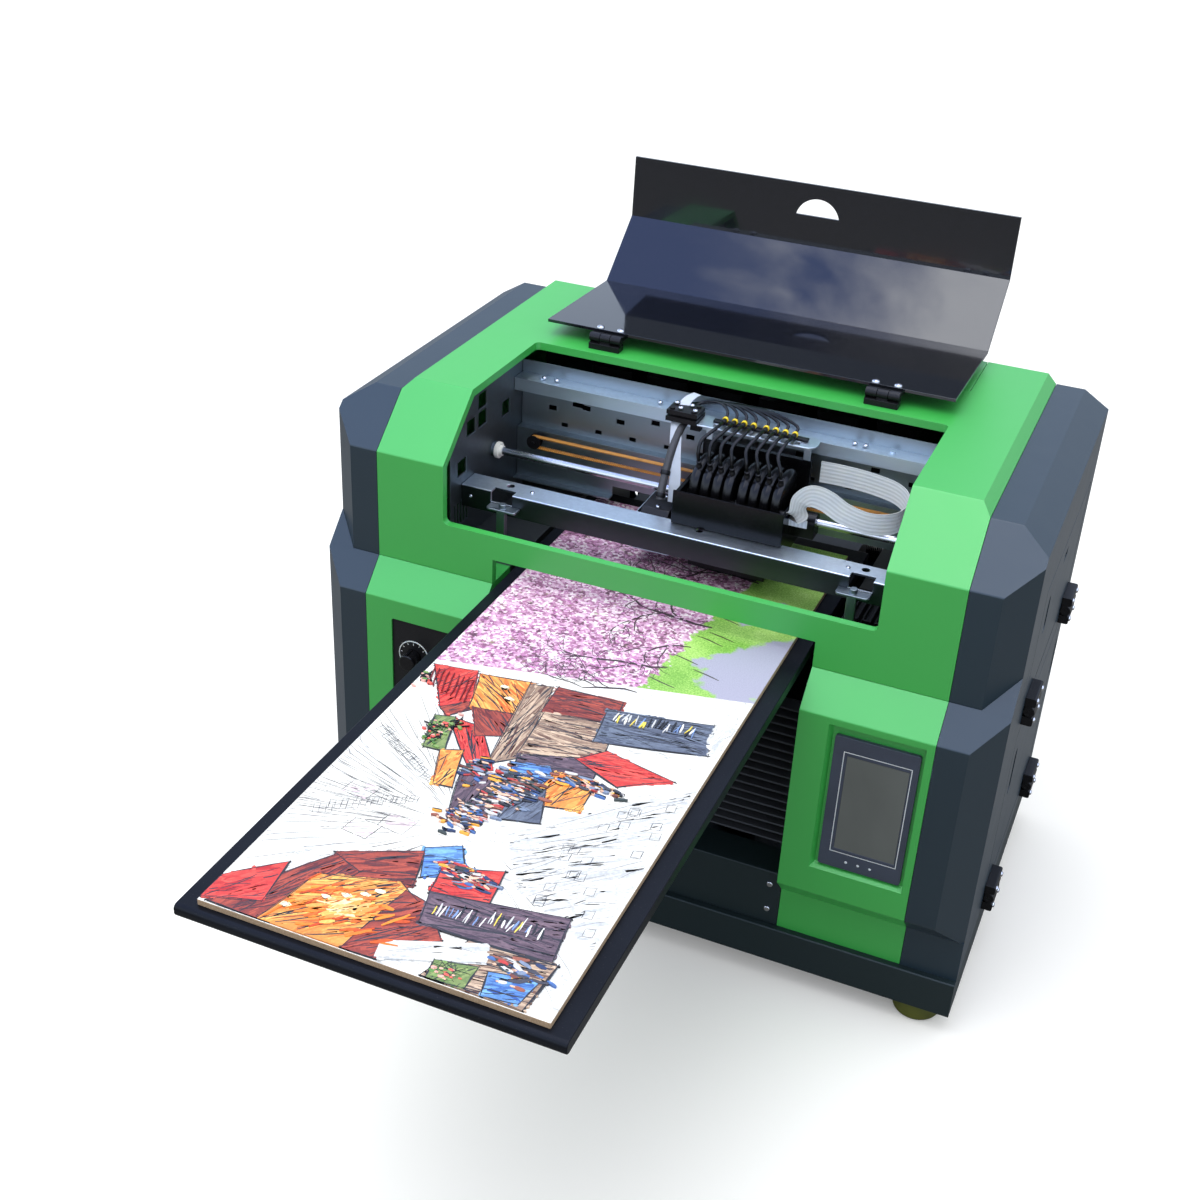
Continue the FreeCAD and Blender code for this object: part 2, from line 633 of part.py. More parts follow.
def lid():
    inner = lid_outline(LID_GAP)
    outer = lid_outline(LID_GAP + LID_T)
    sheet = prism_x(inner + outer[::-1], -LID_X, LID_X)
    flat_z = 508.0
    disc = cylinder(HAND_HOLE_R, V(0, FRONT - 20, flat_z - HAND_HOLE_H + HAND_HOLE_R), Y_AXIS, 40)
    hole = disc.common(box(-40, 40, FRONT - 30, FRONT + 30, flat_z - 60, flat_z))
    return open_lid(sheet.cut(hole))


def lid_hinge(x, moving):
    """Half of a lid hinge; the fixed half stands on the hood's top."""
    length = LID_LEAF_LEN
    x0 = x - length / 2
    third = length / 3
    radius = 5.2
    ends = [(x0, x0 + third - 0.3), (x0 + 2 * third + 0.3, x0 + length)]
    middle = [(x0 + third + 0.3, x0 + 2 * third - 0.3)]
    spans = ends if moving else middle
    knuckles = [cylinder(radius, V(a, LID_AXIS_Y, LID_AXIS_Z), X_AXIS, b - a) for a, b in spans]
    top = GREEN_TOP + LID_GAP + LID_T
    if moving:
        leaf = box(x0, x0 + length, LID_AXIS_Y - LID_EDGE - 17, LID_AXIS_Y - radius - 0.6, top, top + 5)
        necks = [box(a, b, LID_AXIS_Y - radius - 3, LID_AXIS_Y, top + 0.4, top + 5) for a, b in spans]
        body = fuse([leaf] + knuckles + necks)
        body = body.cut(cylinder(2.2 + RUNNING, V(x0 - 1, LID_AXIS_Y, LID_AXIS_Z), X_AXIS, length + 2))
        return open_lid(body)
    foot = box(x0, x0 + length, LID_AXIS_Y - 7, LID_AXIS_Y + 8, GREEN_TOP, LID_AXIS_Z - radius - 0.5)
    foot = round_edges(foot, 1.5, lambda e: along(e, Z_AXIS))
    post = [box(a, b, LID_AXIS_Y - 4, LID_AXIS_Y + 4, GREEN_TOP, LID_AXIS_Z) for a, b in spans]
    pin = cylinder(2.2, V(x0, LID_AXIS_Y, LID_AXIS_Z), X_AXIS, length)
    return fuse([foot] + post + knuckles + [pin])


def lid_hinge_leaves():
    leaves = []
    for x in (-LID_HINGE_X, LID_HINGE_X):
        leaves.append(lid_hinge(x, True))
        for dx in (-12.5, 12.5):
            inner = GREEN_TOP + LID_GAP
            screw = dome_screw(V(x + dx, LID_AXIS_Y - LID_EDGE - 5, inner), V(0, 0, -1), 4.2)
            leaves.append(open_lid(screw))
    return group(leaves)


def lid_hinge_bases():
    return group([lid_hinge(x, False) for x in (-LID_HINGE_X, LID_HINGE_X)])


# ================================================================ bed
def bed_plate():
    plate = box(-BED_X, BED_X, BED_FRONT, BED_REAR, BED_TOP - BED_T, BED_TOP)
    plate = round_edges(plate, 5.0, lambda e: along(e, X_AXIS) and e.BoundBox.YMax < BED_FRONT + 0.1)
    plate = round_edges(plate, 1.2, lambda e: along(e, Y_AXIS) and e.BoundBox.ZMin > BED_TOP - 0.1)
    pockets = []
    for column in (-1, 1):
        for row in range(5):
            y0 = BED_FRONT + 40 + row * 152
            pockets.append(box(column * 50 - 42, column * 50 + 42, y0, y0 + 140, BED_TOP - BED_T - 1, BED_TOP - 6))
    return cut_all(plate, pockets)


def print_board():
    board = box(-BOARD_X, BOARD_X, BOARD_FRONT, BOARD_REAR, BED_TOP, BED_TOP + BOARD_T)
    return round_edges(board, 0.6, lambda e: along(e, Z_AXIS))


def bed_rails():
    """Two profile rails screwed under the bed, and the nut bracket between them."""
    z0 = BED_TOP - BED_T - RAIL_H
    z1 = BED_TOP - BED_T
    rails = []
    for x in (-RAIL_X, RAIL_X):
        rail = box(x - RAIL_W / 2, x + RAIL_W / 2, BED_FRONT + 27, BED_REAR - 5, z0, z1)
        for side in (-1, 1):
            groove = box(x + side * RAIL_W / 2 - 1.2, x + side * RAIL_W / 2 + 1.2,
                         BED_FRONT, BED_REAR, z0 + 5, z0 + 8)
            rail = rail.cut(groove)
        rails.append(rail)
    plate = box(-17, 17, NUT_Y - 18, NUT_Y + 18, SCREW_Z + 10, z1)
    nut = cylinder(15, V(0, NUT_Y - 18, SCREW_Z), Y_AXIS, 36)
    bracket = fuse([plate, nut]).cut(cylinder(SCREW_R + RUNNING, V(0, NUT_Y - 30, SCREW_Z), Y_AXIS, 60))
    return group(rails + [bracket])


def bearing_blocks():
    blocks = []
    for x in (-RAIL_X, RAIL_X):
        for y in BLOCK_Y:
            block = box(x - 17, x + 17, y - BLOCK_LEN / 2, y + BLOCK_LEN / 2, BEAM_TOP, BEAM_TOP + 18)
            channel = box(x - RAIL_W / 2 - RUNNING, x + RAIL_W / 2 + RUNNING, y - 40, y + 40,
                          BED_TOP - BED_T - RAIL_H - RUNNING, BEAM_TOP + 30)
            blocks.append(block.cut(channel))
    return group(blocks)


def y_beam():
    """Folded channel that carries the bed blocks, the drive screw and its motor."""
    outer = box(-BEAM_X, BEAM_X, BEAM_FRONT, BEAM_REAR, BEAM_BOTTOM, BEAM_TOP)
    inner = box(-BEAM_X + BEAM_SHEET, BEAM_X - BEAM_SHEET, BEAM_FRONT + BEAM_SHEET, BEAM_REAR - BEAM_SHEET,
                BEAM_BOTTOM - 1, BEAM_TOP - BEAM_SHEET)
    slot = box(-20, 20, NUT_Y - 24, NUT_Y + BED_TRAVEL + 24, BEAM_TOP - 10, BEAM_TOP + 5)
    channel = outer.cut(inner).cut(slot)
    front_bearing = box(-20, 20, BEAM_FRONT + BEAM_SHEET, BEAM_FRONT + 14, SCREW_Z - 18, BEAM_TOP - BEAM_SHEET)
    rear_bearing = box(-24, 24, BEAM_REAR - 14, BEAM_REAR - BEAM_SHEET, SCREW_Z - 20, BEAM_TOP - BEAM_SHEET)
    motor = box(-21, 21, BEAM_REAR, BEAM_REAR + 48, SCREW_Z - 21, SCREW_Z + 21)
    motor = round_edges(motor, 4.0, lambda e: along(e, Y_AXIS))
    bore = cylinder(SCREW_R - 2 + RUNNING, V(0, BEAM_FRONT - 1, SCREW_Z), Y_AXIS, BEAM_REAR - BEAM_FRONT + 12)
    bosses = [cylinder(4, V(side * BEAM_X, y, BEAM_BOTTOM + 7), V(side, 0, 0), 1.6)
              for side in (-1, 1) for y in (-337.0, -412.0)]
    return fuse([channel, front_bearing, rear_bearing, motor] + bosses).cut(bore)


def bed_screw():
    y0 = BEAM_FRONT + 15
    y1 = BEAM_REAR - 15
    thread = cylinder(SCREW_R, V(0, y0, SCREW_Z), Y_AXIS, y1 - y0)
    journal = cylinder(SCREW_R - 2, V(0, BEAM_FRONT + 5, SCREW_Z), Y_AXIS, BEAM_REAR - BEAM_FRONT)
    return fuse([thread, journal])


# ================================================================ lift
def lift_table():
    """Plate under the beam with four bushes and the lift nut."""
    z1 = BEAM_BOTTOM
    z0 = z1 - 8
    plate = box(-140, 140, -150, 158, z0, z1)
    posts = [(x, y) for x in (-SHAFT_X, SHAFT_X) for y in SHAFT_Y]
    bushes = [cylinder(15, V(x, y, z0 - 38), Z_AXIS, 38) for x, y in posts]
    nut = cylinder(14, V(LIFT_SCREW_X, LIFT_SCREW_Y, z0 - 22), Z_AXIS, 22)
    bores = [cylinder(SHAFT_R + RUNNING, V(x, y, z0 - 50), Z_AXIS, 80) for x, y in posts]
    bores.append(cylinder(LIFT_SCREW_R + RUNNING, V(LIFT_SCREW_X, LIFT_SCREW_Y, z0 - 50), Z_AXIS, 80))
    window = box(-60, 30, -80, 90, z0 - 1, z1 + 1)
    return cut_all(fuse([plate, nut] + bushes), bores + [window])


def lift_shafts():
    floor = FOOT_H + 3 + 8
    return group([cylinder(SHAFT_R, V(x, y, floor), Z_AXIS, SHAFT_TOP - floor)
                  for x in (-SHAFT_X, SHAFT_X) for y in SHAFT_Y])


def lift_screw():
    floor = FOOT_H + 3 + 8
    at = V(LIFT_SCREW_X, LIFT_SCREW_Y, floor)
    journal = cylinder(LIFT_SCREW_R - 2, at, Z_AXIS, 60)
    thread = cylinder(LIFT_SCREW_R, V(at.x, at.y, BASE_TOP + 1), Z_AXIS, SHAFT_TOP - BASE_TOP - 1)
    pulley = cylinder(14, V(at.x, at.y, 142), Z_AXIS, 12)
    return fuse([journal, thread, pulley])


def lift_motor():
    """Stepper on the base tray with its toothed belt loop."""
    x = -60.0
    y = LIFT_SCREW_Y
    floor = FOOT_H + 3
    body = box(x - 28, x + 28, y - 28, y + 28, floor, 130)
    body = round_edges(body, 5.0, lambda e: along(e, Z_AXIS))
    pulley = cylinder(12, V(x, y, 130), Z_AXIS, 26)
    inner_far = 14 + 0.4
    outer_far = inner_far + 1.6
    loop = belt_loop(x, LIFT_SCREW_X, y, 12, inner_far, 13.6, outer_far, 143.5, 152.5)
    return fuse([body, pulley, loop])


def belt_loop(xa, xb, y, ra, rb, outer_a, outer_b, z0, z1):
    """Flat belt around two upright pulleys of nearly equal size."""
    def solid(near, far):
        core = prism_z([(xa, y - near), (xb, y - far), (xb, y + far), (xa, y + near)], z0, z1)
        ends = [cylinder(near, V(xa, y, z0), Z_AXIS, z1 - z0), cylinder(far, V(xb, y, z0), Z_AXIS, z1 - z0)]
        return fuse([core] + ends)
    return solid(outer_a, outer_b).cut(solid(ra, rb))


# ================================================================ print mechanism
def side_plate(right):
    """Galvanised end plate of the print mechanism, right-hand version."""
    x0 = FRAME_X
    x1 = FRAME_X + PLATE_T
    outline = [(-168, PARTING), (-168, 556), (-140, 584), (20, 584), (20, PARTING)]
    plate = prism_x(outline, x0, x1)
    foot = box(x0, x0 + 40, -168, 20, PARTING, PARTING + PLATE_T)
    plate = fuse([plate, foot])
    holes = [box(x0 - 1, x1 + 1, y, y + 20, z, z + 18) for y, z in ((-128, 540), (-100, 540), (-100, 562),
                                                                  (-40, 530), (-150, 500))]
    holes += [box(x0 - 1, x1 + 1, -158 + i * 7, -155 + i * 7, 440, 468) for i in range(5)]
    holes.append(cylinder(ROD_R, V(x0 - 2, ROD_Y, ROD_Z), X_AXIS, 10))
    plate = cut_all(plate, holes)
    bush = tube(9, ROD_R, V(x0 - 3.0, ROD_Y, ROD_Z), X_AXIS, 3.0)
    plate = fuse([plate, bush])
    return plate if right else mirror(plate)


def back_plate():
    """Folded and punched sheet behind the belt."""
    x = FRAME_X - 0.5
    upper = box(-x, x, BACK_Y, BACK_Y + 2, 504, 584)
    ledge = box(-x, x, 0, BACK_Y + 2, 502, 504)
    lower = box(-x, x, 0, 2, 440, 504)
    lip = box(-x, x, -10, 2, 440, 442)
    plate = fuse([upper, ledge, lower, lip])
    cuts = []
    for index in range(11):
        cx = -215 + index * 43
        cuts.append(box(cx - 5, cx + 5, BACK_Y - 1, BACK_Y + 3, 528 + 8 * (index % 2), 534 + 8 * (index % 2)))
        cuts.append(box(cx + 12, cx + 20, BACK_Y - 1, BACK_Y + 3, 510, 515))
        cuts.append(box(cx - 4, cx + 4, -1, 3, 462, 470))
    cuts.append(box(-190, -176, BACK_Y - 1, BACK_Y + 3, 538, 552))
    cuts.append(box(-130, FRAME_X, -11, 3, 439, 454))
    cuts.append(cylinder(3 + RUNNING, V(PULLEY_X, -5, BELT_Z), Y_AXIS, 10))
    return cut_all(plate, cuts)


def rear_rail():
    """Channel along the top of the back plate."""
    x = FRAME_X - 0.5
    outer = box(-x, x, -10, BACK_Y - 0.1, 554, 569)
    inner = box(-x - 1, x + 1, -8, BACK_Y + 5, 556, 567)
    channel = outer.cut(inner)
    heads = [cylinder(3.2, V(cx, 2, 569), Z_AXIS, 1.8) for cx in (-225, -60, 60, 190)]
    return fuse([channel] + heads)


def front_rail():
    """Guide channel in front of the carriage."""
    x = FRAME_X - 0.5
    top = box(-x, x, -142, -110, 486.5, 489)
    face = box(-x, x, -142, -139.5, 463, 489)
    lip = box(-x, x, -142, -131, 463, 465.5)
    rail = fuse([top, face, lip])
    rail = round_edges(rail, 1.6, lambda e: along(e, X_AXIS) and e.BoundBox.YMax < -141.9
                       and e.BoundBox.ZMin > 488.9)
    notches = [box(cx - 13, cx + 13, -145, -131, 476, 492) for cx in (-205, 205)]
    holes = [cylinder(4.5, V(cx, -120, 480), Z_AXIS, 20) for cx in (-204, 204, 20)]
    return cut_all(rail, notches + holes)


def rail_posts():
    """Height adjusters under the ends of the front rail."""
    parts = []
    for side in (-1, 1):
        cx = side * 200.0
        tab = box(cx - 18, cx + 18, -156, -142.2, 473, 475.5)
        tab = round_edges(tab, 4.0, lambda e: along(e, Z_AXIS) and e.BoundBox.YMax < -155)
        post = box(cx - 5, cx + 5, -154.5, -147, PARTING, 473)
        foot = box(cx - 6, cx + 6, -160, -143, PARTING, PARTING + 4)
        screw = cylinder(4.2, V(cx, -149, 475.5), Z_AXIS, 5)
        parts.append(fuse([tab, post, foot, screw]))
    return group(parts)


def guide_rod():
    return cylinder(ROD_R, V(-FRAME_X - 12, ROD_Y, ROD_Z), X_AXIS, 2 * FRAME_X + 24)


def carriage_belt():
    def solid(radius):
        core = box(-PULLEY_X, PULLEY_X, BELT_Y - BELT_W / 2, BELT_Y + BELT_W / 2, BELT_Z - radius, BELT_Z + radius)
        ends = [cylinder(radius, V(x, BELT_Y - BELT_W / 2, BELT_Z), Y_AXIS, BELT_W)
                for x in (-PULLEY_X, PULLEY_X)]
        return fuse([core] + ends)
    return solid(PULLEY_R + BELT_T).cut(solid(PULLEY_R))


def pulley(x, driven):
    y0 = BELT_Y - BELT_W / 2
    wheel = cylinder(PULLEY_R - RUNNING, V(x, y0, BELT_Z), Y_AXIS, BELT_W)
    flanges = [cylinder(PULLEY_R + 2.4, V(x, y0 - 1.4, BELT_Z), Y_AXIS, 1.2),
               cylinder(PULLEY_R + 2.4, V(x, y0 + BELT_W + 0.2, BELT_Z), Y_AXIS, 1.2)]
    hub = cylinder(3.4, V(x, y0 - 1.4, BELT_Z), Y_AXIS, BELT_W + 2.8)
    body = fuse([wheel, hub] + flanges)
    if driven:
        return fuse([body, cylinder(3, V(x, y0, BELT_Z), Y_AXIS, 22)])
    return body.cut(cylinder(2 + RUNNING, V(x, y0 - 5, BELT_Z), Y_AXIS, 20))


def carriage_motor():
    """Motor behind the back plate, and the idler pin at the other end."""
    can = cylinder(17, V(PULLEY_X, 2, BELT_Z), Y_AXIS, 38)
    can = can.cut(cylinder(3 + RUNNING, V(PULLEY_X, 0, BELT_Z), Y_AXIS, 14))
    can = can.cut(box(PULLEY_X - 30, PULLEY_X + 30, 1, BACK_Y + 2.1, 501.9, 530))
    pin = cylinder(2, V(-PULLEY_X, BELT_Y - 6, BELT_Z), Y_AXIS, 6 - BELT_Y)
    return group([can, pin])


def capping_station():
    """Parking station beside the bed passage."""
    tray = box(184, 250, -128, -40, PARTING + 0.2, HEAD_Z - 8)
    well = box(188, 246, -124, -44, PARTING + 3, HEAD_Z)
    caps = [box(192 + 14 * i, 202 + 14 * i, -116, -60, PARTING + 2, HEAD_Z - 3) for i in range(4)]
    pocket = [box(194 + 14 * i, 200 + 14 * i, -113, -63, HEAD_Z - 8, HEAD_Z) for i in range(4)]
    return cut_all(fuse([tray.cut(well)] + caps), pocket)


def ffc_ribbon():
    """Flat cable folded in a loop against the back plate."""
    length = 96.0
    x0 = 120.0
    radius = 5.0
    outer = box(x0, x0 + length, 0.4, 0.4 + 2 * radius, 512, 544)
    outer = fuse([outer, cylinder(radius, V(x0 + length, 0.4 + radius, 512), Z_AXIS, 32)])
    inner = box(x0 - 1, x0 + length, 1.6, 2 * radius - 0.8, 511, 545)
    inner = fuse([inner, cylinder(radius - 1.2, V(x0 + length, 0.4 + radius, 511), Z_AXIS, 34)])
    return outer.cut(inner)


# ================================================================ carriage
def carriage_body():
    """Moulded carriage with its front apron and the bearing for the rod."""
    apron = box(CAR_LEFT, CAR_RIGHT, CAR_FRONT, CAR_FRONT + 2.5, 490, 528)
    apron = round_edges(apron, 1.0, lambda e: along(e, Z_AXIS))
    floor = box(CAR_LEFT, CAR_RIGHT, -108, CAR_REAR, 470, 490)
    arms = box(CAR_LEFT, CAR_RIGHT, CAR_FRONT + 1, -100, 490.5, 496)
    back = box(CAR_LEFT, CAR_RIGHT, CAR_REAR - 6, CAR_REAR, 470, 552)
    cheeks = [box(x, x + 4, CAR_FRONT + 2, CAR_REAR, 489, 524) for x in (CAR_LEFT, CAR_RIGHT - 4)]
    bosses = [cylinder(10, V(x, ROD_Y, ROD_Z), X_AXIS, 16) for x in (CAR_LEFT - 3, CAR_RIGHT + 6)]
    webs = box(CAR_LEFT - 3, CAR_RIGHT + 22, ROD_Y - 10, ROD_Y + 10, 482, ROD_Z)
    clamp = box(30, 66, CAR_REAR, BELT_Y + 5, 478, 486.8)
    body = fuse([apron, floor, arms, back, webs, clamp] + cheeks + bosses)
    wells = [box(damper_x(i) - 5.4, damper_x(i) + 5.4, -104, CAR_REAR - 8, 486, 500) for i in range(DAMPERS)]
    relief = box(CAR_LEFT - 5, CAR_RIGHT + 30, CAR_FRONT - 5, -109, 460, 489.6)
    shaft = cylinder(ROD_R + RUNNING, V(CAR_LEFT - 40, ROD_Y, ROD_Z), X_AXIS, 220)
    return cut_all(body, wells + [relief, shaft])


def damper_x(index):
    """Middle of one ink damper; two banks of four with a wider gap between."""
    pitch = 12.6
    half = (DAMPERS - 1) / 2
    return (CAR_LEFT + CAR_RIGHT) / 2 + (index - half) * pitch + (2.0 if index > half else -2.0)


def print_head():
    x0 = 4.0
    x1 = 92.0
    block = box(x0, x1, -104, -34, HEAD_Z + 6, 470)
    nozzles = box(x0 + 10, x1 - 10, -96, -42, HEAD_Z, HEAD_Z + 6)
    block = round_edges(block, 2.0, lambda e: along(e, Z_AXIS))
    return fuse([block, nozzles])


def ink_dampers():
    """Upright dampers standing in the carriage with sloping tops."""
    parts = []
    for index in range(DAMPERS):
        cx = damper_x(index)
        outline = [(-103, 500.2), (-103, 528), (-90, 546), (-44, 552), (-32, 540), (-32, 512), (-72, 512),
                   (-78, 500.2)]
        body = prism_x(outline, cx - 4.9, cx + 4.9)
        plug = cylinder(3.2, V(cx, -84, 545), Z_AXIS, 9)
        parts.append(fuse([body, plug]))
    return group(parts)


def damper_bracket():
    """Bright bracket over the back of the carriage that holds the tubes."""
    z0 = 572.5
    plate = box(-18, 116, -44, -14, z0, z0 + 2)
    plate = round_edges(plate, 12.0, lambda e: along(e, Z_AXIS) and e.BoundBox.XMin > 115)
    upright = box(100, 108, -27, -25, 552, z0)
    uprights = [upright, box(-12, -4, -27, -25, 552, z0)]
    slots = [box(damper_x(i) - 3, damper_x(i) + 3, -40, -32, z0 - 1, z0 + 3) for i in range(DAMPERS)]
    return cut_all(fuse([plate] + uprights), slots)


def damper_tubes():
    """Ink tubes bent from each damper's plug up to the bracket."""
    parts = []
    for index in range(DAMPERS):
        cx = damper_x(index)
        start = V(cx, -84, 555.2)
        middle = V(cx, -70, 585)
        end = V(cx, -36, 579)
        arc = Part.Arc(start, middle, end).toShape()
        circle = Part.Wire([Part.Circle(start, V(0, 0.2, 1), 2.0).toShape()])
        parts.append(Part.Wire([arc]).makePipeShell([circle], True, True))
    return group(parts)


def cable_clamp():
    lower = box(-54, -18.4, -46, -16, 573, 578)
    upper = box(-54, -18.4, -44, -18, 580, 585)
    heads = [cylinder(3, V(x, y, 585), Z_AXIS, 2) for x in (-49, -24) for y in (-39, -23)]
    posts = [cylinder(2, V(x, y, 578), Z_AXIS, 2) for x in (-49, -24) for y in (-39, -23)]
    arm = box(-30, -18.4, -30, -22, 560, 573)
    return fuse([lower, upper, arm] + heads + posts)


def carriage_hose():
    """Sleeved harness from the clamp down to the carriage's left side."""
    path = [V(-34, -52, 566), V(-40, -70, 545), V(-42, -84, 520), V(-40, -90, 500)]
    curve = Part.BSplineCurve()
    curve.interpolate(path)
    wire = Part.Wire([curve.toShape()])
    start = curve.tangent(curve.FirstParameter)[0]
    ring = Part.Wire([Part.Circle(path[0], start, 6.0).toShape()])
    return wire.makePipeShell([ring], True, True)


def uv_lamp():
    """Curing lamp on the carriage's left side, with a folded guard."""
    block = box(-60, -19, -104, -40, 440, 486)
    guard = box(-62, -17.2, -106, -38, 486, 488)
    fins = [box(-60 + 6 * i, -57 + 6 * i, -102, -42, 488, 493) for i in range(7)]
    lamp = fuse([block, guard] + fins)
    return lamp.cut(box(-54, -25, -98, -46, 438, 443))


# ================================================================ ink and power
def ink_bottles():
    parts = []
    for index in range(6):
        cx = -175 + index * 70
        body = box(cx - 26, cx + 26, 90, 160, 462, 560)
        body = round_edges(body, 6.0, lambda e: along(e, Z_AXIS))
        neck = cylinder(14, V(cx, 125, 560), Z_AXIS, 12)
        cap = cylinder(17, V(cx, 125, 572), Z_AXIS, 16)
        parts.append(fuse([body, neck, cap]))
    return group(parts)


def ink_tray():
    shelf = box(-GREEN + 8, GREEN - 8, 60, REAR - 3, 457, 459)
    rim = box(-GREEN + 8, GREEN - 8, 60, 62, 457, 480)
    stops = [box(cx - 28, cx + 28, y, y + 1.5, 459, 474) for cx in range(-175, 176, 70) for y in (87, 161.5)]
    legs = [box(side * 250 - 10, side * 250 + 10, 60, 200, PARTING, 457) for side in (-1, 1)]
    return fuse([shelf, rim] + stops + legs)


def power_supply():
    case = box(210, 300, -20, 190, BASE_TOP, BASE_TOP + 110)
    fan = cylinder(28, V(255, -20.5, BASE_TOP + 55), Y_AXIS, 4)
    slots = [box(215, 295, 10 + i * 16, 18 + i * 16, BASE_TOP + 106, BASE_TOP + 112) for i in range(10)]
    return cut_all(case, [fan] + slots)


def write_all():
    parts = {
        "base_frame": base_frame(),
        "feet": feet(),
        "lower_cover_left": lower_cover(False),
        "lower_cover_right": lower_cover(True),
        "upper_cover_left": upper_cover(False),
        "upper_cover_right": upper_cover(True),
        "door_upper": door(UPPER_DOOR, 12, UPPER_SLOT),
        "door_upper_leaves": door_leaves(UPPER_DOOR),
        "door_lower": door(LOWER_DOOR, 12, LOWER_SLOT),
        "door_lower_leaves": door_leaves(LOWER_DOOR),
        "door_hinge_bases": door_hinge_bases(),
        "hood": hood(),
        "ink_bay_cover": ink_bay_cover(),
        "pedestal_left": pedestal(False),
        "pedestal_right": pedestal(True),
        "lower_front_panel": lower_front_panel(),
        "front_bellows": bellows(-172.0),
        "rear_panel": rear_panel(),
        "touch_panel": touch_panel(),
        "touch_screen": touch_screen(),
        "control_inset": control_inset(),
        "dial_knob": dial_knob(),
        "panel_screws": panel_screws(),
        "lid": lid(),
        "lid_hinge_leaves": lid_hinge_leaves(),
        "lid_hinge_bases": lid_hinge_bases(),
        "bed_plate": bed_plate(),
        "print_board": print_board(),
        "bed_rails": bed_rails(),
        "bearing_blocks": bearing_blocks(),
        "y_beam": y_beam(),
        "bed_screw": bed_screw(),
        "lift_table": lift_table(),
        "lift_shafts": lift_shafts(),
        "lift_screw": lift_screw(),
        "lift_motor": lift_motor(),
        "side_plate_left": side_plate(False),
        "side_plate_right": side_plate(True),
        "back_plate": back_plate(),
        "rear_rail": rear_rail(),
        "front_rail": front_rail(),
        "rail_posts": rail_posts(),
        "guide_rod": guide_rod(),
        "carriage_belt": carriage_belt(),
        "idler_pulley": pulley(-PULLEY_X, False),
        "drive_pulley": pulley(PULLEY_X, True),
        "carriage_motor": carriage_motor(),
        "capping_station": capping_station(),
        "ffc_ribbon": ffc_ribbon(),
        "carriage_body": carriage_body(),
        "print_head": print_head(),
        "ink_dampers": ink_dampers(),
        "damper_bracket": damper_bracket(),
        "damper_tubes": damper_tubes(),
        "cable_clamp": cable_clamp(),
        "carriage_hose": carriage_hose(),
        "uv_lamp": uv_lamp(),
        "ink_bottles": ink_bottles(),
        "ink_tray": ink_tray(),
        "power_supply": power_supply(),
    }
    for name, shape in parts.items():
        save(name, shape)
    print(len(parts), "parts written")


write_all()
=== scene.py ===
"""Looks of the flatbed printer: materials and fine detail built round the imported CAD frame.

The frame's own axes are used: X to the operator's right, Y to the back, Z up. Pieces, outlines and
the print on the board are drawn in millimetres, and mesh_object turns them into metres. Camera, lights
and textures are in metres.
"""

import math
import random

import bmesh
import bpy
from mathutils import Matrix, Vector


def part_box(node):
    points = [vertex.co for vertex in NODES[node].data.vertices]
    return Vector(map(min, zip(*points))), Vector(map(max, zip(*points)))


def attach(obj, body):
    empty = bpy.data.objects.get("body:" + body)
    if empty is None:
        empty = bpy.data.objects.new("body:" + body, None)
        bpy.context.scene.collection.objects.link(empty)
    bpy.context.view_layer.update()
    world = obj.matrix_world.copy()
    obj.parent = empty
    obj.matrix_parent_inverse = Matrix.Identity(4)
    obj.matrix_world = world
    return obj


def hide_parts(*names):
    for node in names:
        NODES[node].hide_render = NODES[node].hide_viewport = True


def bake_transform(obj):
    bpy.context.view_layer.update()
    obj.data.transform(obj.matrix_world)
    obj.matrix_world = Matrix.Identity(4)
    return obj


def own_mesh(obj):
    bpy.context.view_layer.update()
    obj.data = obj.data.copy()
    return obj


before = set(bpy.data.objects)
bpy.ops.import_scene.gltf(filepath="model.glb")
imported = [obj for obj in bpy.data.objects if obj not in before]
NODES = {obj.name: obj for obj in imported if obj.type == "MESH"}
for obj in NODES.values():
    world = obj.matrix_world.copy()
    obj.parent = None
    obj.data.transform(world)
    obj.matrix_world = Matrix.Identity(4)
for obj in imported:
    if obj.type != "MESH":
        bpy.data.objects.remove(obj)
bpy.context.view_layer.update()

MM = 0.001
FLOOR_Z = -28 * MM

# camera: where it stands, where it looks, and how far it is rolled
CAMERA_PLACE = Vector((0.4913, -1.5759, 1.2603))
CAMERA_TURN = math.radians(-21.772)
CAMERA_DOWN = math.radians(30.288)
CAMERA_ROLL = math.radians(2.993)
CAMERA_LENS = 48.24

# studio: what the glossy surfaces mirror, and how strongly the floor throws light back
SKY_LOW = (2.6, 3.0, 3.6, 1.0)
SKY_HIGH = (0.8, 1.15, 2.5, 1.0)
SKY_CLOUD = (6.6, 6.8, 7.3, 1.0)
SKY_GROUND = (0.25, 0.27, 0.28, 1.0)
SKY_BEHIND = 0.42
FLOOR_BOUNCE = 0.32
FLOOR_LIFT = 0.15

GREEN = (0.036, 0.36, 0.060)
# near-black painted shade for what the pedestals hide inside the machine
PAINTED_SHADE = (0.012, 0.014, 0.015, 1.0)
CREASE = 42             # degrees; sharper edges than this stay crisp on smooth pieces

# board on the bed
BOARD_LEFT, BOARD_RIGHT = -154.6, 154.6
BOARD_FRONT, BOARD_REAR = -786.0, 16.0
BOARD_TOP = 398.5

# carriage
DAMPERS = 8
DAMPER_PITCH = 12.6
CARRIAGE_MIDDLE = 48.0
ROD_Y, ROD_Z = -60.0, 470.7
BELT_Y, BELT_Z, BELT_HALF = -12.0, 467.0, 226.0
BELT_RADIUS = 6.6

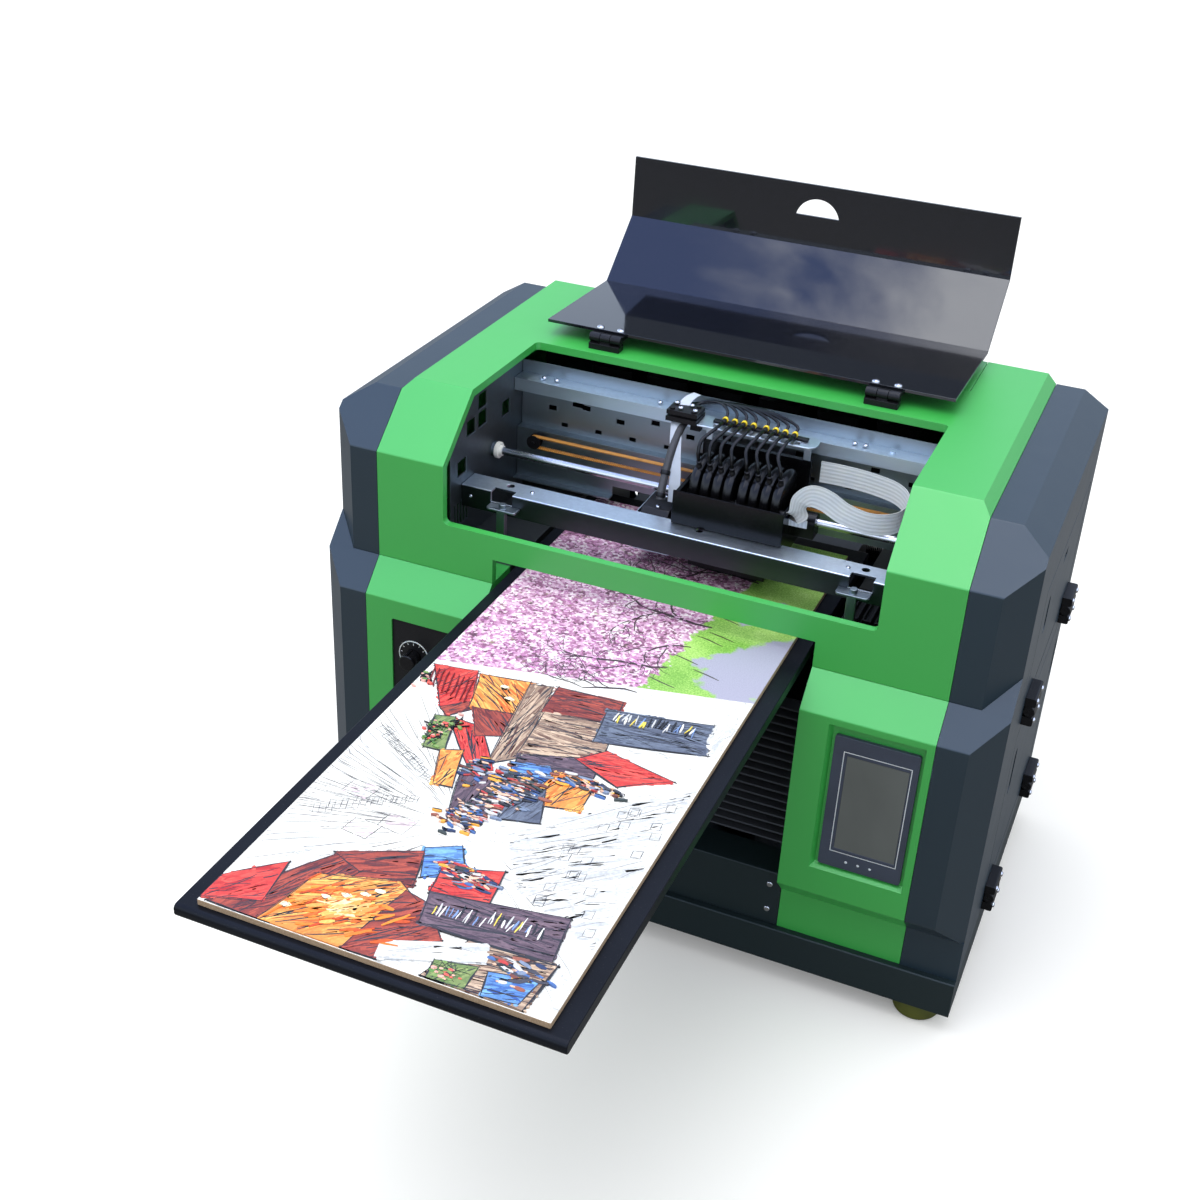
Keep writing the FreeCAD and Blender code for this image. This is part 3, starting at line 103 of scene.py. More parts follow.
# hinges: the lid's two stand at either side of the middle, each door's two on the right side's plane
LID_HINGE_X, LID_SCREW_Y, LID_SCREW_Z = 163, 51.4, 596.4
LID_UP = (0, 0.033, 1)
HINGE_FACE_X, DOOR_HINGES_Y = 396.9, (-72, 163)
UPPER_HINGES_Z, LOWER_HINGES_Z = 324.5, 69.5


# ================================================================ node helpers
def connect(tree, value, socket):
    """Puts a number, a colour or another node's output on an input."""
    if isinstance(value, bpy.types.NodeSocket):
        tree.links.new(value, socket)
    else:
        socket.default_value = value


def node(tree, kind, inputs=None, **settings):
    made = tree.nodes.new(kind)
    for key, value in settings.items():
        setattr(made, key, value)
    for key, value in (inputs or {}).items():
        connect(tree, value, made.inputs[key])
    return made


def maths(tree, operation, a, b=0.0):
    return node(tree, "ShaderNodeMath", {0: a, 1: b}, operation=operation).outputs[0]


def plus(tree, a, b):
    return maths(tree, "ADD", a, b)


def times(tree, a, b):
    return maths(tree, "MULTIPLY", a, b)


def vectors(tree, operation, a, b):
    return node(tree, "ShaderNodeVectorMath", {0: a, 1: b}, operation=operation).outputs[0]


def split(tree, vector):
    """The three parts of a vector."""
    return node(tree, "ShaderNodeSeparateXYZ", {0: vector}).outputs


def geometry(tree, output="Normal"):
    return node(tree, "ShaderNodeNewGeometry").outputs[output]


def mix(tree, factor, a, b, blend="MIX"):
    made = node(tree, "ShaderNodeMix", {0: factor, 6: a, 7: b}, data_type="RGBA", blend_type=blend)
    return made.outputs[2]


def remap(tree, value, from_low, from_high, to_low=0.0, to_high=1.0):
    made = node(tree, "ShaderNodeMapRange",
                {0: value, 1: from_low, 2: from_high, 3: to_low, 4: to_high}, clamp=True)
    return made.outputs[0]


def coords(tree, scale=(1, 1, 1), turn=(0, 0, 0)):
    place = node(tree, "ShaderNodeTexCoord").outputs["Object"]
    return node(tree, "ShaderNodeMapping", {"Vector": place, "Scale": scale, "Rotation": turn}).outputs[0]


def noise(tree, scale, detail=3.0, rough=0.55, vector=None, distort=0.0):
    vector = vector or coords(tree)
    made = node(tree, "ShaderNodeTexNoise", {"Vector": vector, "Scale": scale, "Detail": detail,
                                            "Roughness": rough, "Distortion": distort})
    return made.outputs["Fac"]


def voronoi(tree, scale, vector=None, output="Color", randomness=1.0):
    vector = vector or coords(tree)
    made = node(tree, "ShaderNodeTexVoronoi", {"Vector": vector, "Scale": scale, "Randomness": randomness})
    return made.outputs[output]


def bump(tree, height, strength, distance, normal=None):
    inputs = {"Height": height, "Strength": strength, "Distance": distance}
    if normal is not None:
        inputs["Normal"] = normal
    return node(tree, "ShaderNodeBump", inputs).outputs[0]


def rgba(colour, alpha=1.0):
    return (colour[0], colour[1], colour[2], alpha)


def shade(colour, factor):
    return (colour[0] * factor, colour[1] * factor, colour[2] * factor, 1.0)


def mottled(tree, value, low, high, colour, dark, light):
    """The colour, between a darker and a lighter shade of it, as the value runs from low to high."""
    return mix(tree, remap(tree, value, low, high), shade(colour, dark), shade(colour, light))


def new_material(name):
    material = bpy.data.materials.new(name)
    material.use_nodes = True
    tree = material.node_tree
    tree.nodes.clear()
    surface = node(tree, "ShaderNodeBsdfPrincipled")
    output = node(tree, "ShaderNodeOutputMaterial")
    tree.links.new(surface.outputs[0], output.inputs["Surface"])
    return material, tree, surface


def finish_surface(tree, surface, **values):
    names = {"colour": "Base Color", "metal": "Metallic", "rough": "Roughness", "ior": "IOR",
             "normal": "Normal", "specular": "Specular IOR Level", "coat": "Coat Weight",
             "coat_rough": "Coat Roughness", "sheen": "Sheen Weight", "subsurface": "Subsurface Weight",
             "emission": "Emission Color", "glow": "Emission Strength"}
    for key, value in values.items():
        connect(tree, value, surface.inputs[names[key]])


def surface_look(look):
    """Makes a material of a function that returns the values for the surface's inputs."""
    def make(name, *settings):
        material, tree, surface = new_material(name)
        finish_surface(tree, surface, **look(tree, *settings))
        return material
    return make


# ================================================================ materials
@surface_look
def powder_coat(tree, colour, rough, specular, painted_shade_from=None):
    """Painted sheet metal: orange-peel skin and dust specks; further back along Y than the given depth only
    near-black painted shade.
    """
    cloud = noise(tree, 7, 4)
    tint = mottled(tree, cloud, 0.3, 0.7, colour, 0.985, 1.015)
    speck = remap(tree, noise(tree, 1500, 1), 0.70, 0.78, 0.0, 0.12)
    tint = mix(tree, speck, tint, shade(colour, 1.6))
    if painted_shade_from is not None:
        depth = split(tree, coords(tree))[1]
        # painted shade: further back than the given depth the colour turns near-black, along a ragged edge
        bare = remap(tree, plus(tree, depth, times(tree, cloud, 4 * MM)),
                     painted_shade_from, painted_shade_from + 3 * MM)
        tint = mix(tree, bare, tint, PAINTED_SHADE)
    peel = bump(tree, noise(tree, 420, 2), 0.06, 0.0004)
    fine = bump(tree, noise(tree, 2600, 2), 0.08, 0.0002, peel)
    gloss = remap(tree, noise(tree, 24, 5), 0.25, 0.75, rough - 0.015, rough + 0.02)
    return dict(colour=tint, rough=gloss, normal=fine, specular=specular)


@surface_look
def zinc_sheet(tree, colour, rough, front=1.0):
    """Galvanised steel: faint spangle, rolling lines, stains; front scales the colour of the faces towards
    the user as a painted dark reflection.
    """
    spangle = node(tree, "ShaderNodeSeparateColor", {0: voronoi(tree, 260)}).outputs[0]
    lines = noise(tree, 55, 3, vector=coords(tree, (1, 30, 30)))
    tone = plus(tree, times(tree, spangle, 0.12), times(tree, lines, 0.25))
    tint = mottled(tree, tone, 0.0, 0.37, colour, 0.86, 1.12)
    stain = remap(tree, noise(tree, 30, 5), 0.60, 0.75, 0.0, 0.3)
    tint = mix(tree, stain, tint, shade(colour, 0.62))
    # painted dark reflection: faces turned towards the front take the colour scaled by front
    facing = split(tree, geometry(tree))[1]
    tint = mix(tree, remap(tree, facing, -0.5, -0.9), tint, shade(colour, front))
    gloss = remap(tree, lines, 0.3, 0.7, rough - 0.05, rough + 0.08)
    skin = bump(tree, lines, 0.05, 0.0003)
    return dict(colour=tint, metal=1.0, rough=gloss, normal=skin)


@surface_look
def bright_metal(tree, colour, rough, brush, strength):
    """Ground or polished steel with fine turning or grinding lines."""
    lines = noise(tree, 300, 2, vector=coords(tree, brush))
    smear = noise(tree, 18, 4)
    tint = mottled(tree, smear, 0.35, 0.7, colour, 0.9, 1.05)
    gloss = remap(tree, plus(tree, lines, smear), 0.7, 1.3, rough * 0.7, rough * 1.5)
    skin = bump(tree, lines, strength, 0.0002)
    return dict(colour=tint, metal=1.0, rough=gloss, normal=skin)


@surface_look
def moulded_plastic(tree, colour, rough, grain_scale=1800, grain=0.12, specular=0.5):
    """Injection-moulded plastic: leather-like grain, faint flow marks and a slight sheen change."""
    flow = noise(tree, 14, 4, distort=0.6)
    tint = mottled(tree, flow, 0.3, 0.7, colour, 0.85, 1.2)
    dust = remap(tree, noise(tree, 900, 2), 0.66, 0.76, 0.0, 0.08)
    tint = mix(tree, dust, tint, (0.35, 0.35, 0.36, 1.0))
    skin = bump(tree, voronoi(tree, grain_scale, output="Distance"), grain, 0.0001)
    gloss = remap(tree, flow, 0.25, 0.75, rough - 0.05, rough + 0.06)
    return dict(colour=tint, rough=gloss, normal=skin, specular=specular)


@surface_look
def cast_rubber(tree, colour):
    """Cast rubber: cloudy colour and a rough, slightly soft skin."""
    cloud = noise(tree, 40, 5)
    tint = mottled(tree, cloud, 0.3, 0.7, colour, 0.75, 1.15)
    skin = bump(tree, noise(tree, 700, 4), 0.25, 0.0003)
    return dict(colour=tint, rough=0.55, normal=skin, subsurface=0.05)


def smoked_acrylic(name):
    """Dark tinted acrylic: mirror-like skin, slightly see-through, with wiping haze and dust."""
    material, tree, surface = new_material(name)
    haze = noise(tree, 9, 5, vector=coords(tree, (1, 3, 3), (0.2, 0.1, 0.5)))
    dust = remap(tree, noise(tree, 1100, 2), 0.70, 0.76, 0.0, 0.06)
    tint = mix(tree, dust, (0.006, 0.007, 0.011, 1.0), (0.3, 0.32, 0.36, 1.0))
    gloss = remap(tree, haze, 0.35, 0.75, 0.03, 0.13)
    clear = node(tree, "ShaderNodeBsdfTransparent", {"Color": (0.13, 0.125, 0.15, 1.0)})
    finish_surface(tree, surface, colour=tint, rough=gloss, ior=1.49, coat=0.6, coat_rough=0.02)
    blend = node(tree, "ShaderNodeMixShader", {0: 0.30, 1: surface.outputs[0], 2: clear.outputs[0]})
    output = next(n for n in tree.nodes if n.bl_idname == "ShaderNodeOutputMaterial")
    tree.links.new(blend.outputs[0], output.inputs["Surface"])
    return material


@surface_look
def touch_glass(tree):
    """Screen that is switched off, under a matt film with smears from fingers."""
    smear = noise(tree, 16, 3, vector=coords(tree, (1, 1, 0.5), (0, 0.5, 0)), distort=0.4)
    tint = mix(tree, remap(tree, smear, 0.3, 0.7), (0.088, 0.098, 0.093, 1.0), (0.104, 0.114, 0.109, 1.0))
    lattice = voronoi(tree, 2400, output="Distance", randomness=0.0)
    skin = bump(tree, lattice, 0.05, 0.0001)
    gloss = remap(tree, smear, 0.3, 0.7, 0.33, 0.42)
    return dict(colour=tint, rough=gloss, normal=skin, coat=0.25, coat_rough=0.2)


@surface_look
def toothed_belt(tree):
    """Orange polyurethane belt with the cords showing as fine lines along it."""
    cords = noise(tree, 900, 1, vector=coords(tree, (0.01, 1, 1)))
    grime = noise(tree, 45, 5, vector=coords(tree, (1, 0.2, 0.2)))
    tint = mix(tree, remap(tree, cords, 0.35, 0.65), (0.40, 0.17, 0.03, 1.0), (0.62, 0.30, 0.07, 1.0))
    tint = mix(tree, remap(tree, grime, 0.55, 0.75, 0.0, 0.6), tint, (0.20, 0.09, 0.03, 1.0))
    return dict(colour=tint, rough=0.42, normal=bump(tree, cords, 0.2, 0.0002))


@surface_look
def flat_cable(tree, colour, pitch):
    """White flat cable: raised conductors under the film, random patches of painted blue-grey shade, and a
    slightly glossy skin.
    """
    place = split(tree, node(tree, "ShaderNodeUVMap").outputs[0])
    across = times(tree, place[0], 2 * math.pi / pitch)
    wave = maths(tree, "SINE", across)
    tint = mottled(tree, wave, -1, 1, colour, 0.80, 1.0)
    # painted shade: blue-grey patches at random places stand in for the cable's shading
    painted_bluish_shade = remap(tree, noise(tree, 60, 4), 0.4, 0.7, 0.0, 0.35)
    tint = mix(tree, painted_bluish_shade, tint, (0.55, 0.62, 0.78, 1.0))
    skin = bump(tree, wave, 0.35, 0.0002)
    return dict(colour=tint, rough=0.36, normal=skin, subsurface=0.04)


@surface_look
def braided_sleeve(tree):
    """Black woven sleeve: two crossing sets of strands."""
    place = split(tree, node(tree, "ShaderNodeUVMap").outputs[0])
    along = times(tree, place[1], 2 * math.pi / (2.2 * MM))
    around = times(tree, place[0], 2 * math.pi * 10)
    one = maths(tree, "SINE", plus(tree, along, around))
    two = maths(tree, "SINE", maths(tree, "SUBTRACT", along, around))
    weave = times(tree, one, two)
    tint = mix(tree, remap(tree, weave, -1, 1), (0.006, 0.006, 0.007, 1.0), (0.05, 0.05, 0.055, 1.0))
    return dict(colour=tint, rough=0.48, normal=bump(tree, weave, 0.5, 0.0003), sheen=0.1)


@surface_look
def milled_alloy(tree):
    """Milled aluminium: close bands from the cutter."""
    rings = node(tree, "ShaderNodeTexWave", {"Vector": coords(tree), "Scale": 260.0, "Distortion": 1.5,
                                            "Detail": 2.0}, wave_type="BANDS").outputs["Fac"]
    tint = mix(tree, rings, (0.42, 0.42, 0.43, 1.0), (0.62, 0.62, 0.63, 1.0))
    return dict(colour=tint, metal=1.0, rough=0.34, normal=bump(tree, rings, 0.08, 0.0002))


@surface_look
def glowing_dot(tree, colour):
    """Small indicator lens, switched off."""
    speck = noise(tree, 3000, 2)
    tint = mix(tree, speck, shade(colour, 0.85), shade(colour, 1.0))
    skin = bump(tree, speck, 0.1, 0.0001)
    return dict(colour=tint, rough=0.25, subsurface=0.2, normal=skin)


# ================================================================ the print on the board
def edges(corners):
    """Each corner of an outline with the next one."""
    return zip(corners, corners[1:] + corners[:1])


def area(corners):
    """Area of an outline; it is negative where the corners run clockwise."""
    return sum(a[0] * b[1] - b[0] * a[1] for a, b in edges(corners)) / 2


def depth_inside(tree, place, corners):
    """How far a point is inside a convex outline, in millimetres; place holds (x, y, 1)."""
    if area(corners) < 0:
        corners = corners[::-1]
    depth = None
    for a, b in edges(corners):
        run = math.hypot(b[0] - a[0], b[1] - a[1])
        side = ((a[1] - b[1]) / run, (b[0] - a[0]) / run)
        plane = (side[0], side[1], -(side[0] * a[0] + side[1] * a[1]))
        dot = node(tree, "ShaderNodeVectorMath", {0: place, 1: plane}, operation="DOT_PRODUCT")
        edge = dot.outputs["Value"]
        depth = edge if depth is None else maths(tree, "MINIMUM", depth, edge)
    return depth


def scaled(tree, vector, factor):
    return node(tree, "ShaderNodeVectorMath", {0: vector, "Scale": factor}, operation="SCALE").outputs[0]


def flattened(tree, vector):
    return vectors(tree, "MULTIPLY", vector, (1, 1, 0))


def hand_drawn(tree, place, amount, scale):
    """The place shifted by a little noise and laid flat as (x, y, 1), so that outlines wobble."""
    made = node(tree, "ShaderNodeTexNoise", {"Vector": place, "Scale": scale, "Detail": 3.0})
    shift = vectors(tree, "SUBTRACT", made.outputs["Color"], (0.5, 0.5, 0.5))
    moved = vectors(tree, "ADD", place, scaled(tree, shift, amount))
    return vectors(tree, "ADD", flattened(tree, moved), (0, 0, 1))


def strokes(tree, place, turn, scale, stretch):
    """Noise drawn out along one direction, as brush or pencil strokes are."""
    vector = node(tree, "ShaderNodeMapping", {"Vector": place, "Rotation": (0, 0, turn),
                                              "Scale": (scale, scale * stretch, 1)}).outputs[0]
    return noise(tree, 1.0, 3, vector=vector, distort=0.3)


def thin_line(tree, value, width):
    """1 along the places where the value crosses its middle."""
    away = maths(tree, "ABSOLUTE", maths(tree, "SUBTRACT", value, 0.5))
    return remap(tree, away, width, width * 0.4)


def ramp(tree, value, stops):
    made = node(tree, "ShaderNodeValToRGB", {0: value})
    elements = made.color_ramp.elements
    while len(elements) < len(stops):
        elements.new(1.0)
    for element, (place, colour) in zip(elements, stops):
        element.position = place
        element.color = rgba(colour)
    return made.outputs[0]


LAWNS = ([(38, -400), (170, -400), (170, -180), (64, -180)],
         [(64, -182), (170, -182), (170, 40), (88, 40)])
PATHS = ([(75, -265), (100, -315), (138, -350), (170, -300), (170, -190), (150, -188)],
         [(80, -168), (124, -120), (134, -128), (98, -186)])


def blossom_garden(tree, place):
    """Pink blossom with gaps of shade between the clumps, sunlit grass and a pale path."""
    petals = node(tree, "ShaderNodeSeparateColor", {0: voronoi(tree, 0.33, place)}).outputs[0]
    clumps = noise(tree, 0.045, 5, vector=place, rough=0.7)
    tone = plus(tree, times(tree, petals, 0.50), times(tree, clumps, 0.95))
    colour = ramp(tree, tone, ((0.42, (0.10, 0.04, 0.07)), (0.56, (0.34, 0.14, 0.27)),
                               (0.70, (0.57, 0.28, 0.50)), (0.84, (0.78, 0.56, 0.74)),
                               (0.97, (0.93, 0.86, 0.92))))
    leaves = remap(tree, noise(tree, 0.07, 5, vector=place, rough=0.75), 0.60, 0.66, 0.0, 0.6)
    colour = mix(tree, leaves, colour, (0.24, 0.28, 0.09, 1.0))

    loose = hand_drawn(tree, place, 40, 0.06)
    blades = noise(tree, 0.5, 4, vector=place, rough=0.75)
    fields = noise(tree, 0.02, 3, vector=place)
    tone = plus(tree, times(tree, blades, 0.7), times(tree, fields, 0.4))
    lawn = ramp(tree, tone,
                ((0.32, (0.04, 0.14, 0.02)), (0.48, (0.18, 0.42, 0.06)), (0.62, (0.40, 0.66, 0.17)),
                 (0.8, (0.72, 0.86, 0.48))))
    for corners in LAWNS:
        colour = mix(tree, remap(tree, depth_inside(tree, loose, corners), -1.5, 1.5), colour, lawn)
    pebbles = noise(tree, 0.9, 5, vector=place, rough=0.7)
    gravel = ramp(tree, pebbles, ((0.3, (0.26, 0.26, 0.38)), (0.7, (0.48, 0.48, 0.62))))
    for corners in PATHS:
        colour = mix(tree, remap(tree, depth_inside(tree, loose, corners), -2, 4), colour, gravel)
    return colour


def sketch_paper(tree, place):
    """White paper under the street sketch, with thin washes and a few faint pencil lines."""
    wash = remap(tree, noise(tree, 0.012, 3, vector=place), 0.45, 0.7, 0.0, 0.7)
    colour = mix(tree, wash, (0.84, 0.84, 0.83, 1.0), (0.70, 0.75, 0.81, 1.0))
    for turn, scale, stretch, low in ((0.12, 0.022, 9.0, 0.46), (1.62, 0.03, 7.0, 0.56)):
        line = thin_line(tree, strokes(tree, place, turn, scale, stretch), 0.016)
        shown = remap(tree, noise(tree, 0.017, 3, vector=place, distort=turn), low, low + 0.06)
        colour = mix(tree, times(tree, times(tree, line, shown), 0.5), colour,
                     (0.10, 0.11, 0.13, 1.0))
    return colour


def garden_front(x):
    """Where the garden picture begins: its front edge runs slightly askew across the board."""
    return -392 + (x + 170) * 0.226


@surface_look
def printed_board(tree):
    """Fibre board: the picture's ground on its top face, bare tan core round the edge."""
    metres = node(tree, "ShaderNodeTexCoord").outputs["Object"]
    flat = flattened(tree, scaled(tree, metres, 1 / MM))
    straight = vectors(tree, "ADD", flat, (0, 0, 1))
    garden = [(-170, garden_front(-170)), (170, garden_front(170)), (170, 60), (-170, 60)]
    garden_edge = remap(tree, depth_inside(tree, straight, garden), -0.5, 0.5)
    picture = mix(tree, garden_edge, sketch_paper(tree, flat), blossom_garden(tree, flat))
    fibres = noise(tree, 900, 4, rough=0.7)
    core = mix(tree, remap(tree, fibres, 0.3, 0.7), (0.30, 0.20, 0.12, 1.0), (0.50, 0.37, 0.25, 1.0))
    on_top = remap(tree, split(tree, geometry(tree))[2], 0.6, 0.9)
    gloss = remap(tree, on_top, 0.0, 1.0, 0.8, 0.42)
    skin = bump(tree, fibres, 0.12, 0.0003)
    return dict(colour=mix(tree, on_top, core, picture), rough=gloss, normal=skin)


@surface_look
def printing_ink(tree):
    """Ink films: each shape's own colour with a little mottling and a satin skin."""
    paint = node(tree, "ShaderNodeVertexColor", layer_name="paint").outputs[0]
    mottle = remap(tree, noise(tree, 260, 4, rough=0.7), 0.3, 0.7, 0.78, 1.18)
    grey = node(tree, "ShaderNodeCombineColor", {0: mottle, 1: mottle, 2: mottle}).outputs[0]
    skin = bump(tree, noise(tree, 700, 2), 0.1, 0.0002)
    return dict(colour=mix(tree, 1.0, paint, grey, "MULTIPLY"), rough=0.42, normal=skin)


# ================================================================ mesh helpers
def add_object(name, data):
    made = bpy.data.objects.new(name, data)
    bpy.context.scene.collection.objects.link(made)
    return made


def mesh_object(name, bm, material, smooth=True):
    """Turns a bmesh in millimetres into an object in metres."""
    bmesh.ops.recalc_face_normals(bm, faces=bm.faces)
    bmesh.ops.scale(bm, vec=(MM, MM, MM), verts=bm.verts)
    mesh = bpy.data.meshes.new(name)
    bm.to_mesh(mesh)
    bm.free()
    for polygon in mesh.polygons:
        polygon.use_smooth = smooth
    if smooth:
        mesh.set_sharp_from_angle(angle=math.radians(CREASE))
    mesh.materials.append(material)
    return add_object(name, mesh)


def round_off(made, width, angle=35):
    """Bevels the edges sharper than the angle, and shades the rest smooth."""
    bevel = made.modifiers.new("bevel", "BEVEL")
    bevel.width = width * MM
    bevel.segments = 2
    bevel.limit_method = "ANGLE"
    bevel.angle_limit = math.radians(angle)
    bevel.harden_normals = False
    made.modifiers.new("normals", "WEIGHTED_NORMAL").keep_sharp = True


def soften_node(name, width):
    """Rounds the edges of a CAD node by modifiers alone: joins its triangles into flat faces first."""
    part = NODES[name]
    part.modifiers.new("weld", "WELD").merge_threshold = 0.004 * MM
    flat = part.modifiers.new("flat", "DECIMATE")
    flat.decimate_type = "DISSOLVE"
    flat.angle_limit = math.radians(0.4)
    round_off(part, width, angle=28)


def skin_over(bm, rings, closed=False):
    """Faces between rings of equal length; closed joins the last ring to the first."""
    count = len(rings[0])
    following = rings[1:] + rings[:1] if closed else rings[1:]
    for first, second in zip(rings, following):
        for k in range(count):
            bm.faces.new((first[k], first[(k + 1) % count], second[(k + 1) % count], second[k]))


def add_loop(bm, inner, outer, near, far):
    """A closed strip between two outlines of equal length in X and Z, from near to far along Y."""
    rings = [[bm.verts.new((x, y, z)) for x, z in outline]
             for outline, y in ((outer, near), (inner, near), (inner, far), (outer, far))]
    skin_over(bm, rings, closed=True)


def heading(angle):
    return Vector((math.cos(angle), math.sin(angle)))


def circle(radius, sides):
    return [heading(2 * math.pi * k / sides) * radius for k in range(sides)]


def rectangle(x0, y0, x1, y1):
    return [(x0, y0), (x1, y0), (x1, y1), (x0, y1)]


def sweep(bm, path, frames, section):
    """Sweeps a closed section along a path and caps both ends. UVs hold (across, length) in metres."""
    uv = bm.loops.layers.uv.verify()
    rings = []
    lengths = [0.0]
    for before, after in zip(path, path[1:]):
        lengths.append(lengths[-1] + (after - before).length)
    for centre, (side, up) in zip(path, frames):
        rings.append([bm.verts.new(centre + side * a + up * b) for a, b in section])
    count = len(section)
    for index, (first, second) in enumerate(zip(rings, rings[1:])):
        for k in range(count):
            face = bm.faces.new((first[k], first[(k + 1) % count], second[(k + 1) % count], second[k]))
            for loop, (corner, along) in zip(face.loops, ((k, 0), (k + 1, 0), (k + 1, 1), (k, 1))):
                across = section[corner % count][0] * MM if count == 4 else corner / count
                loop[uv].uv = (across, lengths[index + along] * MM)
    bm.faces.new(rings[0][::-1])
    bm.faces.new(rings[-1])


def smooth_path(points, steps):
    """Catmull-Rom curve through the points."""
    points = [Vector(p) for p in points]
    padded = [points[0] * 2 - points[1]] + points + [points[-1] * 2 - points[-2]]
    path = []
    for p0, p1, p2, p3 in zip(padded, padded[1:], padded[2:], padded[3:]):
        for step in range(steps):
            t = step / steps
            path.append(0.5 * ((2 * p1) + (p2 - p0) * t + (2 * p0 - 5 * p1 + 4 * p2 - p3) * t * t
                               + (3 * p1 - p0 - 3 * p2 + p3) * t * t * t))
    path.append(points[-1])
    return path


def directions(path):
    """The direction of the path at each of its points."""
    ahead = path[1:] + path[-1:]
    behind = path[:1] + path[:-1]
    return [(b - a).normalized() for a, b in zip(behind, ahead)]


def steady_frames(path):
    """A frame at each point that doesn't twist along the path."""
    tangents = directions(path)
    start = Vector((0, 0, 1)) if abs(tangents[0].z) < 0.9 else Vector((1, 0, 0))
    side = tangents[0].cross(start).normalized()
    frames = []
    for tangent in tangents:
        side = (side - tangent * side.dot(tangent)).normalized()
        frames.append((side, tangent.cross(side)))
    return frames


def add_tube(bm, points, radius, sides, steps):
    """A round tube along a smooth curve through the points."""
    path = smooth_path(points, steps)
    frames = steady_frames(path)
    sweep(bm, path, frames, circle(radius, sides))


def add_band(bm, points, width, thickness, up_at):
    """A flat band; up_at(share of the way) is the direction of its width."""
    path = smooth_path(points, 12)
    frames = []
    for index, along in enumerate(directions(path)):
        wide = Vector(up_at(index / (len(path) - 1)))
        wide = (wide - along * wide.dot(along)).normalized()
        frames.append((wide, along.cross(wide)))
    half, skin = width / 2, thickness / 2
    sweep(bm, path, frames, rectangle(-half, -skin, half, skin))


def add_turned(bm, profile, place, axis, sides=24):
    """Turned solid: profile is (radius, height along the axis); it starts and ends on the axis."""
    turn = Vector((0, 0, 1)).rotation_difference(Vector(axis)).to_matrix()
    rings = []
    for radius, height in profile:
        flat = circle(radius, sides) if radius else [(0, 0)]
        rings.append([bm.verts.new(Vector(place) + turn @ Vector((x, y, height))) for x, y in flat])
    for first, second in zip(rings, rings[1:]):
        for k in range(sides):
            ring = [first[k % len(first)], first[(k + 1) % len(first)],
                    second[(k + 1) % len(second)], second[k % len(second)]]
            corners = list(dict.fromkeys(ring))
            if len(corners) > 2:
                bm.faces.new(corners)


def add_prism(bm, outline, direction, low, high):
    """Solid with a flat outline, drawn along X, Y or Z; outline pairs follow the other two axes in order."""
    def corner(a, b, along):
        return {"x": (along, a, b), "y": (a, along, b), "z": (a, b, along)}[direction]
    bottom = [bm.verts.new(corner(a, b, low)) for a, b in outline]
    top = [bm.verts.new(corner(a, b, high)) for a, b in outline]
    bm.faces.new(bottom)
    bm.faces.new(top[::-1])
    skin_over(bm, [bottom, top])


def add_box(bm, low, high):
    add_prism(bm, rectangle(low[0], low[1], high[0], high[1]), "z", low[2], high[2])


def piece(name, bm, finish, body, replaces=(), smooth=True, bevel=0.0):
    """Finishes a new piece: object, bevel, body it rides on, CAD nodes it stands for, material slot."""
    made = mesh_object(name, bm, MATERIALS[finish], smooth)
    if bevel:
        round_off(made, bevel)
    if body:
        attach(made, body)
    if replaces:
        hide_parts(*replaces)
    return made


def add_dome_screw(bm, place, axis, radius):
    """Button-head screw with a hexagon socket."""
    head = radius * 0.62
    socket = radius * 0.46
    profile = [(0, -0.4), (radius, -0.4), (radius, head * 0.25), (radius * 0.86, head * 0.66),
               (radius * 0.62, head * 0.92), (socket, head), (socket * 0.98, head * 0.35), (0, head * 0.3)]
    add_turned(bm, profile, place, axis, sides=18)


